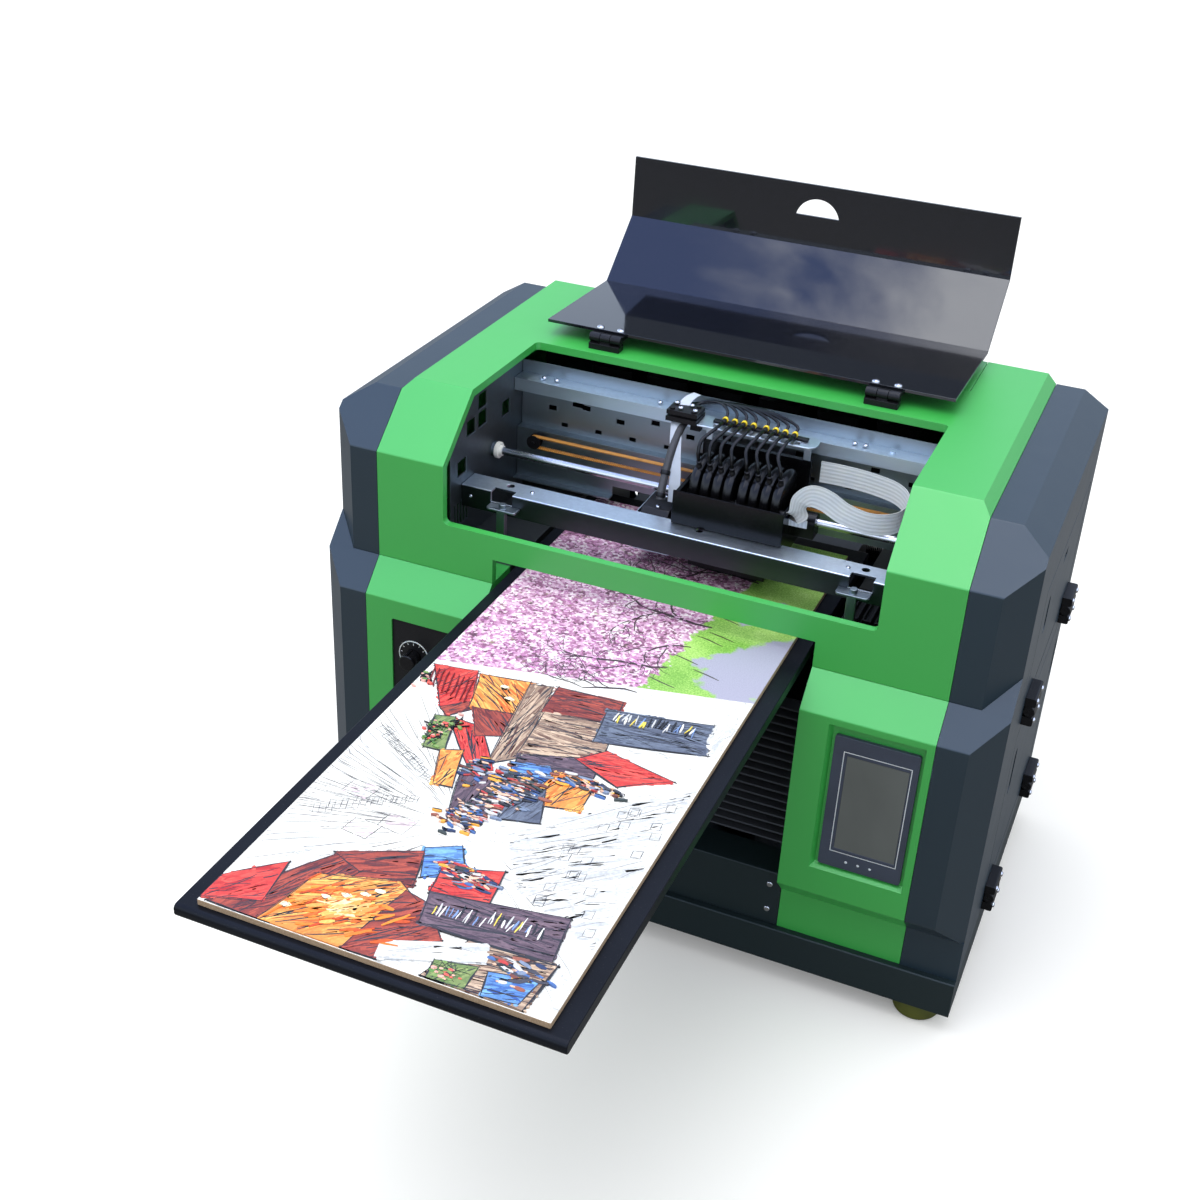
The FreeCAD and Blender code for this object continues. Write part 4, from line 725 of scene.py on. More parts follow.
# ================================================================ finishes of the CAD nodes
# each finish: the function that makes it, and its settings; CAD slots have the same names
FINISHES = {
    "base_grey": (powder_coat, ((0.008, 0.016, 0.018), 0.46, 0.3)),
    "cover_grey": (powder_coat, ((0.008, 0.020, 0.030), 0.42, 0.50)),
    "cover_green": (powder_coat, (GREEN, 0.40, 0.75)),
    # the pedestals turn to near-black painted shade behind Y = -165 mm
    "pedestal_green": (powder_coat, (GREEN, 0.40, 0.75, -165 * MM)),
    "bed_black": (moulded_plastic, ((0.004, 0.005, 0.008), 0.36, 1300, 0.10, 0.12)),
    "board": (printed_board, ()),
    # galvanised, rail_zinc, front_zinc and shaded_zinc are one zinc sheet in four brightnesses: lighter
    # copies on the rails up in the light, darker copies as painted shade on the plates deeper inside, darkest
    # on the side plates
    "galvanised": (zinc_sheet, ((0.25, 0.285, 0.30), 0.38)),
    "rail_zinc": (zinc_sheet, ((0.52, 0.59, 0.64), 0.36)),
    "front_zinc": (zinc_sheet, ((0.60, 0.66, 0.70), 0.36, 0.10)),
    "shaded_zinc": (zinc_sheet, ((0.10, 0.115, 0.12), 0.45)),
    "bright_steel": (bright_metal, ((0.46, 0.46, 0.47), 0.20, (0.05, 40, 40), 0.02)),
    "dark_steel": (powder_coat, ((0.018, 0.022, 0.024), 0.5, 0.4)),
    "black_plastic": (moulded_plastic, ((0.006, 0.006, 0.007), 0.36, 1800, 0.12, 0.2)),
    "gloss_black": (moulded_plastic, ((0.003, 0.003, 0.004), 0.22, 900, 0.04, 0.2)),
    "smoked_acrylic": (smoked_acrylic, ()),
    "screen": (touch_glass, ()),
    "bezel": (moulded_plastic, ((0.034, 0.043, 0.068), 0.40, 2200, 0.10)),
    "rubber": (cast_rubber, ((0.072, 0.080, 0.006),)),
    "guard": (moulded_plastic, ((0.008, 0.008, 0.009), 0.60, 700, 0.25)),
    "belt": (toothed_belt, ()),
    "ribbon": (flat_cable, ((0.80, 0.84, 0.90), 4.2 * MM)),
    "natural_plastic": (moulded_plastic, ((0.74, 0.74, 0.70), 0.40, 1500, 0.08)),
    "alloy": (milled_alloy, ()),
    "yellow_plastic": (moulded_plastic, ((0.80, 0.60, 0.02), 0.38)),
    "blue_ribbon": (flat_cable, ((0.50, 0.56, 0.68), 1.27 * MM)),
    "braided_sleeve": (braided_sleeve, ()),
    "printing_ink": (printing_ink, ()),
    "white_print": (glowing_dot, ((0.80, 0.82, 0.84),)),
    "scale_print": (glowing_dot, ((0.78, 0.80, 0.80),)),
}
MATERIALS = {name: make(name, *settings) for name, (make, settings) in FINISHES.items()}

# width of the rounded edges in millimetres, and the CAD nodes that have it
EDGE_WIDTHS = {
    1.3: ("lid",),
    1.0: ("hood", "ink_bay_cover", "pedestal_left", "pedestal_right", "upper_cover_left", "upper_cover_right",
          "lower_cover_left", "lower_cover_right", "base_frame", "lower_front_panel", "touch_panel",
          "control_inset", "rear_panel", "door_upper", "door_lower", "bed_plate"),
    0.6: ("back_plate", "rear_rail", "front_rail", "side_plate_left", "side_plate_right", "rail_posts",
          "y_beam", "carriage_body", "print_head", "uv_lamp", "capping_station", "power_supply", "lift_table",
          "bearing_blocks", "cable_clamp", "damper_bracket", "print_board", "door_hinge_bases",
          "door_upper_leaves", "door_lower_leaves", "lid_hinge_bases", "lid_hinge_leaves", "carriage_motor"),
}

# CAD nodes whose finish isn't the one that their slot names
OWN_FINISH = {
    "pedestal_left": "pedestal_green", "pedestal_right": "pedestal_green", "print_head": "black_plastic",
    "rear_rail": "rail_zinc", "front_rail": "front_zinc", "damper_bracket": "rail_zinc",
    "side_plate_left": "shaded_zinc", "side_plate_right": "shaded_zinc",
}


def dress_cad():
    for name, part in NODES.items():
        slot = part.data.materials[0].name.split(".")[0]
        part.data.materials[0] = MATERIALS[OWN_FINISH.get(name, slot)]
    for width, names in EDGE_WIDTHS.items():
        for name in names:
            soften_node(name, width)


# ================================================================ bed area
def dust_guard():
    """Pleated guard: one zigzag sheet whose ribs run from side to side."""
    low, high = (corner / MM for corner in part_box("front_bellows"))
    ribs = 17
    pitch = (high.z - low.z) / ribs
    sheet = 1.1
    front, back = [], []
    for rib in range(ribs):
        z = low.z + rib * pitch
        for share, y in ((0.0, high.y - sheet), (0.38, low.y + 0.8), (0.5, low.y), (0.62, low.y + 0.8)):
            front.append((y, z + share * pitch))
            back.append((y + sheet, z + share * pitch))
    front.append((high.y - sheet, high.z))
    back.append((high.y, high.z))
    bm = bmesh.new()
    add_prism(bm, front + back[::-1], "x", low.x, high.x)
    made = piece("guard_pleats", bm, "guard", "machine", ["front_bellows"], smooth=False)
    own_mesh(made)


def slot_brush():
    """Dust brush along the foot of the rear panel's bed slot: a holder with a comb of bristles."""
    half, root, bristles = 180, 303.5, 150
    pitch = 2 * half / bristles
    bm = bmesh.new()
    add_box(bm, (-half - 1, 217, 289), (half + 1, 222.8, 302.6))
    dice = random.Random(4)
    comb = [(-half, 302)]
    for index in range(bristles):
        x, tip = -half + index * pitch, dice.uniform(312.0, 313.5)
        comb += [(x, root), (x + 0.1 * pitch, tip), (x + 0.8 * pitch, tip), (x + 0.9 * pitch, root)]
    add_prism(bm, comb + [(half, 302)], "y", 218.5, 221)
    piece("slot_brush", bm, "black_plastic", "machine", smooth=False)


# ================================================================ the street sketch
# A made-up street with market stalls, drawn with films of ink. Corners are in millimetres on the board.
INK = (0.012, 0.013, 0.018)
RED = ((0.42, 0.01, 0.015), (0.85, 0.10, 0.08))
MAROON = ((0.10, 0.012, 0.015), (0.45, 0.08, 0.05))
ORANGE = ((0.60, 0.10, 0.01), (0.98, 0.55, 0.14))
GLOW = ((0.85, 0.30, 0.03), (1.0, 0.86, 0.50))
TIMBER = ((0.09, 0.03, 0.02), (0.66, 0.50, 0.38))
SLATE = ((0.05, 0.06, 0.10), (0.17, 0.21, 0.30))
PLUM = ((0.05, 0.03, 0.05), (0.18, 0.12, 0.16))
BLUE = ((0.02, 0.08, 0.36), (0.20, 0.45, 0.82))
LEAF = ((0.05, 0.12, 0.03), (0.30, 0.38, 0.14))
STONE = ((0.52, 0.55, 0.60), (0.80, 0.80, 0.79))
PENCIL = ((0.22, 0.23, 0.26), (0.5, 0.5, 0.52))
GABLE = ((0.62, 0.50, 0.58), (0.80, 0.72, 0.78))
EMBER = ((0.55, 0.06, 0.01), (0.90, 0.28, 0.03))
GOODS = ((0.85, 0.86, 0.88), (0.90, 0.72, 0.12), (0.20, 0.32, 0.62), INK, (0.60, 0.62, 0.66))
FLOWERS = ((0.80, 0.12, 0.10), (0.10, 0.25, 0.06), (0.20, 0.34, 0.10), (0.90, 0.45, 0.40))
PINKS = ((0.72, 0.42, 0.70), (0.84, 0.66, 0.84), (0.52, 0.20, 0.46), (0.30, 0.09, 0.26))
CLOTH = ((0.02, 0.04, 0.12), (0.06, 0.15, 0.42), (0.50, 0.05, 0.05), (0.85, 0.40, 0.05),
         (0.62, 0.62, 0.66), (0.02, 0.02, 0.025), (0.16, 0.05, 0.04), (0.78, 0.52, 0.40),
         (0.20, 0.26, 0.40), (0.05, 0.05, 0.07), (0.30, 0.10, 0.07), (0.035, 0.05, 0.05))
VANISHING = Vector((-2.0, -612.0))
# each: corners, colours, brush direction in degrees
BLOCKS = (
    ([(24, -596), (152, -474), (152, -702), (66, -664)], STONE, 40),
    ([(-153, -396), (-106, -388), (-90, -438), (-114, -460)], RED, 60),
    ([(-114, -460), (-90, -438), (-80, -448), (-100, -472)], MAROON, 60),
    ([(-97, -468), (-64, -470), (-24, -526), (-40, -536)], RED, -55),
    ([(-104, -391), (-50, -382), (-30, -438), (-86, -452)], ORANGE, -40),
    ([(-84, -446), (-32, -436), (-26, -470), (-62, -490)], MAROON, -40),
    ([(-50, -384), (-28, -380), (-12, -500), (-30, -520)], TIMBER, 85),
    ([(-28, -380), (44, -372), (50, -410), (-22, -424)], MAROON, 6),
    ([(-22, -424), (50, -410), (60, -470), (-12, -496)], TIMBER, 6),
    ([(-14, -496), (60, -470), (64, -506), (-4, -534)], PLUM, 10),
    ([(30, -392), (132, -372), (142, -420), (40, -448)], SLATE, 8),
    ([(132, -372), (152, -368), (152, -418), (142, -420)], STONE, 80),
    ([(36, -478), (60, -454), (130, -474), (86, -500)], RED, 10),
    ([(-14, -512), (22, -500), (32, -518), (0, -532)], BLUE, 15),
    ([(30, -504), (70, -500), (74, -550), (24, -558)], ORANGE, 70),
    ([(4, -540), (34, -532), (48, -580), (10, -590)], SLATE, 75),
    ([(-112, -476), (-88, -472), (-76, -520), (-96, -524)], LEAF, 80),
    ([(-76, -520), (-58, -516), (-44, -566), (-62, -572)], ORANGE, 80),
    ([(-44, -540), (-4, -534), (2, -600), (-28, -606)], PLUM, 85),
    ([(-26, -652), (6, -634), (22, -662), (-6, -684)], BLUE, 20),
    ([(-84, -686), (-20, -654), (-8, -700), (-82, -725)], MAROON, 25),
    ([(-82, -688), (-58, -700), (-92, -785), (-148, -785)], MAROON, 60),
    ([(-153, -752), (-116, -718), (-106, -765), (-152, -784)], RED, 40),
    ([(-84, -716), (-20, -698), (6, -716), (-20, -785), (-98, -785)], ORANGE, 40),
    ([(-14, -704), (14, -712), (44, -745), (6, -785), (-24, -785)], MAROON, 40),
    ([(2, -668), (48, -650), (56, -690), (4, -698)], RED, 12),
    ([(8, -700), (124, -678), (130, -728), (14, -736)], PLUM, 8),
    ([(60, -738), (134, -728), (134, -785), (44, -785)], TIMBER, 12),
    ([(2, -766), (78, -732), (88, -752), (6, -784)], STONE, 24),
    ([(92, -760), (130, -752), (126, -783), (94, -785)], BLUE, 15),
    ([(50, -766), (82, -760), (82, -784), (52, -785)], LEAF, 50),
)


# each: middle of the group, its spread across and along the board, people, size
GROUPS = (
    ((4, -546), (26, 32), 150, 1.0),
    ((-12, -596), (17, 22), 110, 0.7),
    ((26, -668), (24, 12), 60, 1.0),
    ((70, -512), (28, 10), 50, 1.0),
    ((-36, -536), (12, 18), 40, 0.9),
    ((108, -750), (24, 12), 36, 1.1),
)
# each: foot of a trunk, its length and width
TRUNKS = ((70, -204, 74, 4.6), (56, -296, 70, 3.6), (64, -250, 50, 2.8), (84, -92, 80, 4.2),
          (46, -352, 54, 3.0), (60, -160, 80, 4.6), (60, -40, 60, 3.4))


def between(pair, share):
    return tuple(a + (b - a) * share for a, b in zip(*pair))


def inside(corners, point):
    turns = [area([a, b, point]) for a, b in edges(corners)]
    return all(t > 0 for t in turns) or all(t < 0 for t in turns)


class Picture:
    """Flat coloured shapes laid one over another on the board; each is a closed film of ink."""

    def __init__(self, seed):
        self.bm = bmesh.new()
        self.paint = self.bm.loops.layers.float_color.new("paint")
        self.dice = random.Random(seed)
        self.layer = 0
        self.count = 0

    def shape(self, outline, colour, garden=False):
        top = BOARD_TOP + 0.03 + 0.02 * self.layer + 0.0015 * (self.count % 12)
        self.count += 1
        points = []
        for x, y in outline:
            x = min(max(x, BOARD_LEFT + 0.9), BOARD_RIGHT - 0.9)
            limit = BOARD_REAR - 1 if garden else garden_front(x) - 0.5
            points.append((x, min(max(y, BOARD_FRONT + 0.9), limit)))
        if abs(area(points)) < 0.025:
            return
        before = len(self.bm.faces)
        add_prism(self.bm, points, "z", BOARD_TOP - 0.1, top)
        self.bm.faces.ensure_lookup_table()
        for face in self.bm.faces[before:]:
            for loop in face.loops:
                loop[self.paint] = rgba(colour)

    def stroke(self, points, width, colour, garden=False):
        """A line through the points that thins out at both ends."""
        points = [Vector(p) for p in points]
        left, right = [], []
        for index, (point, run) in enumerate(zip(points, directions(points))):
            share = index / (len(points) - 1)
            half = width / 2 * (0.3 + 0.7 * math.sin(math.pi * (0.1 + 0.8 * share)))
            side = Vector((-run.y, run.x)) * half
            left.append(point + side)
            right.append(point - side)
        self.shape([(p.x, p.y) for p in left + right[::-1]], colour, garden)

    def line(self, a, b, width, colour, bow=0.04, garden=False):
        """A hand-drawn line from a to b, slightly bowed and uneven."""
        a, b = Vector(a), Vector(b)
        run = b - a
        side = Vector((-run.y, run.x)) * self.dice.uniform(-bow, bow)
        points = []
        for index in range(5):
            share = index / 4
            shake = Vector((self.dice.uniform(-1, 1), self.dice.uniform(-1, 1))) * min(0.3, run.length * 0.02)
            points.append(a + run * share + side * math.sin(math.pi * share) + shake)
        self.stroke(points, width, colour, garden)

    def blob(self, centre, size, colour, garden=False):
        sides = 7
        turn = self.dice.uniform(0, math.pi)
        outline = []
        for k in range(sides):
            angle = turn + 2 * math.pi * k / sides
            reach = size * self.dice.uniform(0.7, 1.2)
            across, up = heading(angle) * reach
            outline.append((centre[0] + across * 1.5, centre[1] + up * 0.8))
        self.shape(outline, colour, garden)

    def point_in(self, corners):
        weights = [self.dice.expovariate(1.0) ** 1.5 for _ in corners]
        total = sum(weights)
        return Vector((sum(w * c[0] for w, c in zip(weights, corners)) / total,
                       sum(w * c[1] for w, c in zip(weights, corners)) / total))

    def brush_marks(self, corners, colours, degrees, marks, widths=(0.8, 3.2)):
        size = (Vector(corners[0]) - Vector(corners[2])).length
        for _ in range(marks):
            middle = self.point_in(corners)
            angle = math.radians(degrees + self.dice.gauss(0, 9))
            reach = heading(angle) * size * self.dice.uniform(0.10, 0.34)
            while reach.length > 1.5 and not all(inside(corners, middle + end) for end in (-reach, reach)):
                reach *= 0.75
            tone = between(colours, self.dice.random())
            self.line(middle - reach, middle + reach, self.dice.uniform(*widths), tone)

    def outline(self, corners, width=0.9, passes=2):
        for _ in range(passes):
            for a, b in edges(corners):
                over = (Vector(b) - Vector(a)) * self.dice.uniform(0.0, 0.05)
                self.line(Vector(a) - over, Vector(b) + over, width * self.dice.uniform(0.6, 1.2), INK, 0.02)

    def block(self, corners, colours, degrees):
        """Ground colour, broad and fine brush marks, ink hatching and an ink outline."""
        size = abs(area(corners))
        pale = colours is STONE
        loose = [(x + self.dice.uniform(-3, 3), y + self.dice.uniform(-3, 3)) for x, y in corners]
        self.shape(loose, between(colours, 0.6 if pale else 0.4))
        self.layer += 1
        self.brush_marks(corners, colours, degrees, int(6 + size / 90), (3.0, 8.0))
        self.layer += 1
        self.brush_marks(corners, colours, degrees, int(8 + size / (90 if pale else 40)), (0.9, 3.0))
        self.layer += 1
        if pale:
            self.brush_marks(corners, PENCIL, degrees, int(size / 260), (0.5, 0.9))
            return
        self.brush_marks(corners, (INK, shade(INK, 2.0)[:3]), degrees, int(3 + size / 170), (0.5, 1.5))
        self.outline(loose)

    def fan(self, low, high, near, far, marks, tones):
        """Lines that run towards the vanishing point between two directions."""
        for _ in range(marks):
            away = heading(math.radians(self.dice.uniform(low, high)))
            start = self.dice.uniform(near, far)
            length = self.dice.uniform(12, 0.5 * start + 18)
            drift = Vector((self.dice.gauss(0, 2), self.dice.gauss(0, 2)))
            tone = (self.dice.uniform(*tones),) * 3
            self.line(VANISHING + away * start + drift, VANISHING + away * (start + length) + drift,
                      self.dice.uniform(0.4, 0.95), tone, 0.03)

    def window(self, centre, width, height, degrees):
        """A pencilled window frame with its bars."""
        angle = math.radians(degrees)
        across = heading(angle) * width / 2
        upward = Vector((-math.sin(angle), math.cos(angle))) * height / 2
        middle = Vector(centre)
        corners = [middle + across * x + upward * y for x, y in rectangle(-1, -1, 1, 1)]
        self.outline(corners, 0.7, 1)
        self.line(middle - across, middle + across, 0.5, INK)
        for share in (-0.33, 0.33):
            self.line(middle + across * share - upward, middle + across * share + upward, 0.5, INK)


def facades(picture):
    """Pencilled house fronts on the left, paving and tables on the right."""
    dice = picture.dice
    picture.fan(122, 248, 40, 170, 170, (0.03, 0.30))
    picture.fan(155, 205, 60, 150, 40, (0.02, 0.10))
    picture.fan(-46, 44, 36, 150, 60, (0.10, 0.50))
    for step in range(8):
        share = step / 7
        picture.window((-66 - 62 * share, -592 - 46 * share + dice.uniform(-5, 5)), 11 + 5 * share,
                       8 + 4 * share, 190 + 12 * share)
        picture.window((-70 - 68 * share, -560 + 42 * share + dice.uniform(-4, 4)), 10 + 5 * share,
                       7 + 4 * share, 165 - 10 * share)
    for x, y in ((-84, -650), (-112, -604), (-60, -632)):
        roof = [(x - 15, y - 9), (x + 10, y - 12), (x + 14, y + 9), (x - 12, y + 10)]
        picture.brush_marks(roof, GABLE, 20, 16)
        picture.outline(roof, 0.8, 1)
    for _ in range(26):
        x, y = dice.uniform(70, 146), dice.uniform(-690, -500)
        chair = [(x, y), (x + 8, y + 3), (x + 9, y - 7), (x + 1, y - 9)]
        if inside(BLOCKS[0][0], (x, y)):
            picture.layer = 4
            picture.outline(chair, 0.6, 1)
            picture.layer = 0


def market(picture):
    """The stalls: blocks of colour, stripes on the awnings, goods on the boards, lamps in the glow."""
    for corners, colours, degrees in BLOCKS:
        picture.block(corners, colours, degrees)
    picture.layer += 1
    dice = picture.dice
    for share in range(9):
        x = -148 + share * 5.6
        picture.line((x, -402 - share * 0.5), (x + 9, -432 - share * 1.6), 1.3, (0.16, 0.004, 0.01))
    for (x, y), run, count in (((44, -400), (80, 10), 26), ((22, -712), (92, 13), 30)):
        for index in range(count):
            share = (index + dice.uniform(-0.3, 0.3)) / count
            foot = Vector((x + run[0] * share, y + run[1] * share - dice.uniform(6, 12)))
            tone = dice.choice(GOODS)
            top = foot + Vector((dice.uniform(-3, 3), dice.uniform(9, 17)))
            picture.line(foot, top, dice.uniform(0.8, 2.2), tone)
    heart = Vector((-44, -745))
    for reach, tones in ((1.0, EMBER), (0.55, ORANGE), (0.28, GLOW)):
        picture.layer += 1
        for _ in range(60):
            middle = heart + Vector((dice.gauss(0, 24), dice.gauss(0, 15))) * reach
            angle = math.radians(38 + dice.gauss(0, 16))
            along = heading(angle) * dice.uniform(4, 13) * (0.5 + reach / 2)
            width = dice.uniform(1.2, 4.5)
            picture.line(middle - along, middle + along, width, between(tones, dice.random()))
    for x, y in ((-64, -740), (-50, -732), (-38, -724), (-28, -716), (-88, -762), (-70, -404), (-58, -420)):
        picture.blob((x, y), 3.4, (1.0, 0.90, 0.62))
        picture.outline([(x - 3.6, y - 2), (x + 1, y - 3.2), (x + 3.8, y + 1), (x - 1, y + 3.2)], 0.5, 1)


def crowd(picture):
    """People, chairs and flowers as short strokes of colour that get smaller up the street."""
    dice = picture.dice
    for centre, spread, people, size in GROUPS:
        picture.layer += 1
        for _ in range(people):
            place = Vector((dice.gauss(centre[0], spread[0] * 0.5), dice.gauss(centre[1], spread[1] * 0.5)))
            reach = Vector((dice.uniform(2.5, 7.5), dice.gauss(0, 1.2))) * size
            width = dice.uniform(1.6, 4.2) * size
            picture.line(place - reach, place + reach, width, dice.choice(CLOTH), 0.10)
            if dice.random() < 0.35:
                edge = Vector((0, dice.uniform(1.0, 2.2))) * size
                picture.line(place - reach * 1.1 + edge, place + reach + edge, dice.uniform(0.6, 1.1), INK)
            if dice.random() < 0.30:
                picture.blob(place - reach * 1.25, dice.uniform(1.0, 1.6) * size, (0.74, 0.46, 0.34))
    for x, y in ((-100, -492), (-92, -508), (66, -776), (-86, -480), (58, -772), (-148, -425)):
        for _ in range(12):
            tone = dice.choice(FLOWERS)
            picture.blob((x + dice.gauss(0, 5), y + dice.gauss(0, 5)), dice.uniform(1.0, 2.2), tone)
            stem = [(x + dice.gauss(0, reach), y + dice.gauss(0, reach)) for reach in (5, 6)]
            picture.line(*stem, 0.4, INK)


def branch(picture, start, angle, length, width):
    """A crooked branch that forks into thinner ones."""
    dice = picture.dice
    points = [Vector(start)]
    for _ in range(4):
        angle += dice.gauss(0, 0.22)
        points.append(points[-1] + heading(angle) * length / 4)
    picture.stroke(points, width, (0.035, 0.018, 0.022), garden=True)
    if width > 0.7:
        for fork in (2, 3, 4):
            branch(picture, points[fork], angle + dice.choice((-1, 1)) * dice.uniform(0.35, 0.9),
                   length * dice.uniform(0.5, 0.75), width * 0.58)


def blossom_trees(picture):
    """Trunks that grow from the lawn's edge to the left, with petals over their twigs."""
    dice = picture.dice
    for x, y, length, width in TRUNKS:
        branch(picture, (x, y), math.pi + dice.uniform(-0.35, 0.45), length, width)
    for x, y in ((70, -228), (60, -272), (78, -215), (54, -322), (88, -290), (72, -180)):
        picture.line((x + 22, y - 6), (x - 8, y + 2), 1.8, (0.05, 0.045, 0.03), garden=True)
    picture.layer += 1
    for _ in range(1100):
        x = dice.uniform(BOARD_LEFT, 58)
        y = dice.uniform(garden_front(x) + 2, -120)
        if x > 30 and dice.random() < 0.5:
            continue
        picture.blob((x, y), dice.uniform(0.8, 2.0), dice.choice(PINKS), garden=True)


def board_picture():
    """All the ink on the board: the sketch in front, the trees in the garden behind."""
    picture = Picture(seed=11)
    facades(picture)
    picture.layer += 1
    market(picture)
    crowd(picture)
    picture.layer = 1
    blossom_trees(picture)
    piece("board_picture", picture.bm, "printing_ink", "bed", smooth=False)


# ================================================================ print mechanism
def belt():
    """Endless belt: smooth back outside, trapezoid teeth inside."""
    thick, tooth, pitch = 1.1, 0.75, 2.5
    run = 2 * BELT_HALF
    turn = math.pi * BELT_RADIUS
    length = 2 * (run + turn)
    teeth = round(length / pitch)
    inner, outer = [], []

    def at(distance, radius):
        """The place in X and Z that far along the belt, counted from the left end of its lower run."""
        half_turn, distance = divmod(distance % length, run + turn)
        way = -1 if half_turn else 1
        if distance < run:
            return way * (distance - BELT_HALF), BELT_Z - way * radius
        angle = (distance - run) / BELT_RADIUS
        return way * (BELT_HALF + radius * math.sin(angle)), BELT_Z - way * radius * math.cos(angle)

    for index in range(teeth):
        start = index * length / teeth
        for share, depth in ((0.0, 0.0), (0.38, 0.0), (0.5, tooth), (0.88, tooth)):
            inner.append(at(start + share * pitch, BELT_RADIUS - depth))
            outer.append(at(start + share * pitch, BELT_RADIUS + thick - 0.5))
    bm = bmesh.new()
    add_loop(bm, inner, outer, BELT_Y - 3, BELT_Y + 3)
    piece("belt_teeth", bm, "belt", "machine", ["carriage_belt"], smooth=False)


def damper_x(index):
    half = (DAMPERS - 1) / 2
    return CARRIAGE_MIDDLE + (index - half) * DAMPER_PITCH + (2.0 if index > half else -2.0)


def dampers():
    """Eight glossy ink dampers: rounded bellies between two pinched rims, with a filling neck."""
    outline = [(-102, 473), (-102.5, 492), (-101, 503), (-95, 513), (-84, 519), (-64, 522), (-46, 521.5),
               (-36, 516), (-33, 506), (-33, 489), (-44, 485), (-68, 484.5), (-77, 480), (-80, 473)]
    outline = [Vector(corner) for corner in outline]
    middle = sum(outline, Vector((0, 0))) / len(outline)
    slices = [(-5.4, 0.86), (-4.9, 0.95), (-2.0, 0.98), (-0.6, 1.0)]
    slices += [(-offset, grow) for offset, grow in slices[::-1]]
    neck_profile = [(0, 0), (3.2, 0), (3.2, 3.5), (2.6, 4.2), (2.6, 6.4),
                    (3.0, 7), (3.0, 8.2), (1.9, 9), (0, 9)]
    for index in range(DAMPERS):
        centre = damper_x(index)
        bm = bmesh.new()
        rings = []
        for offset, grow in slices:
            grown = [middle + (corner - middle) * grow for corner in outline]
            rings.append([bm.verts.new((centre + offset, y, z)) for y, z in grown])
        skin_over(bm, rings)
        bm.faces.new(rings[0][::-1])
        bm.faces.new(rings[-1])
        made = piece(f"damper_{index + 1}", bm, "gloss_black", "carriage", ["ink_dampers"])
        subdivided = made.modifiers.new("round", "SUBSURF")
        subdivided.levels = subdivided.render_levels = 2
        neck = bmesh.new()
        add_turned(neck, neck_profile, (centre, -84, 516.5), (0, -0.25, 1), 18)
        piece(f"damper_neck_{index + 1}", neck, "black_plastic", "carriage")


def ink_tubes():
    """Tubes from the dampers up to the bracket, on through it and round to the clamp in one bundle."""
    front, behind = bmesh.new(), bmesh.new()
    sleeves, marks = bmesh.new(), bmesh.new()
    sleeve = [(0, 0), (2.8, 0), (3.0, 0.7), (3.0, 5), (2.5, 5.8), (2.5, 12), (0, 12)]
    ring = [(0, 0), (3.2, 0), (3.4, 0.4), (3.4, 3.0), (3.1, 3.4), (0, 3.4)]
    through = (0, 1, 0.08)
    for index in range(DAMPERS):
        x = damper_x(index)
        port = (x * 0.86 + 8, -36.0, 552.0)
        lean = (port[0] + x) / 2 - 5
        route = [(x, -86, 523), (x - 1.5, -86.5, 534), (lean, -79, 546), (port[0] - 1, -60, 553.5), port]
        add_tube(front, route, 2.0, 12, 14)
        clamp = -33 - index * 2.2
        add_tube(behind, [(port[0], -27, 552.6), (port[0] - 2, -18, 557),
                          (port[0] * 0.8 - 8, -8, 559 + index * 0.2),
                          (port[0] * 0.55 - 18, 1 + index * 0.9, 557),
                          (port[0] * 0.2 - 30, 3 + index * 0.9, 553),
                          (clamp, -9, 550.5), (clamp, -20, 550.5)], 1.7, 10, 12)
        add_turned(sleeves, sleeve, (port[0], -38, 551.6), through, 14)
        add_turned(marks, ring, (port[0], -31, 552.2), through, 14)
    piece("ink_tubes_front", front, "gloss_black", "carriage", ["damper_tubes"])
    piece("ink_tubes_behind", behind, "gloss_black", "carriage")
    piece("tube_fittings", sleeves, "black_plastic", "carriage")
    piece("tube_rings", marks, "yellow_plastic", "carriage")
    rail = bmesh.new()
    add_box(rail, (-4, -31, 546.5), (104, -24, 549.6))
    piece("tube_holder", rail, "black_plastic", "carriage", bevel=0.8)


def curing_lamp():
    """Black lamp block standing in a thin folded tray, with two dome screws on top."""
    block = bmesh.new()
    outline = [(-102, 416), (-46, 416), (-46, 452), (-54, 461), (-94, 461), (-102, 452)]
    add_prism(block, outline, "x", -57, -24)
    piece("lamp_block", block, "black_plastic", "carriage", ["uv_lamp"], bevel=1.2)
    tray = bmesh.new()
    outline = [(-61.5, 455), (-61.5, 412.5), (-18, 412.5), (-18, 455),
               (-19.2, 455), (-19.2, 413.8), (-60.3, 413.8), (-60.3, 455)]
    add_prism(tray, outline, "y", -105, -40)
    piece("lamp_tray", tray, "rail_zinc", "carriage", bevel=0.3, smooth=False)
    screws = bmesh.new()
    for y in (-88, -60):
        add_dome_screw(screws, (-40, y, 461), (0, 0, 1), 3.0)
    piece("lamp_screws", screws, "bright_steel", "carriage")


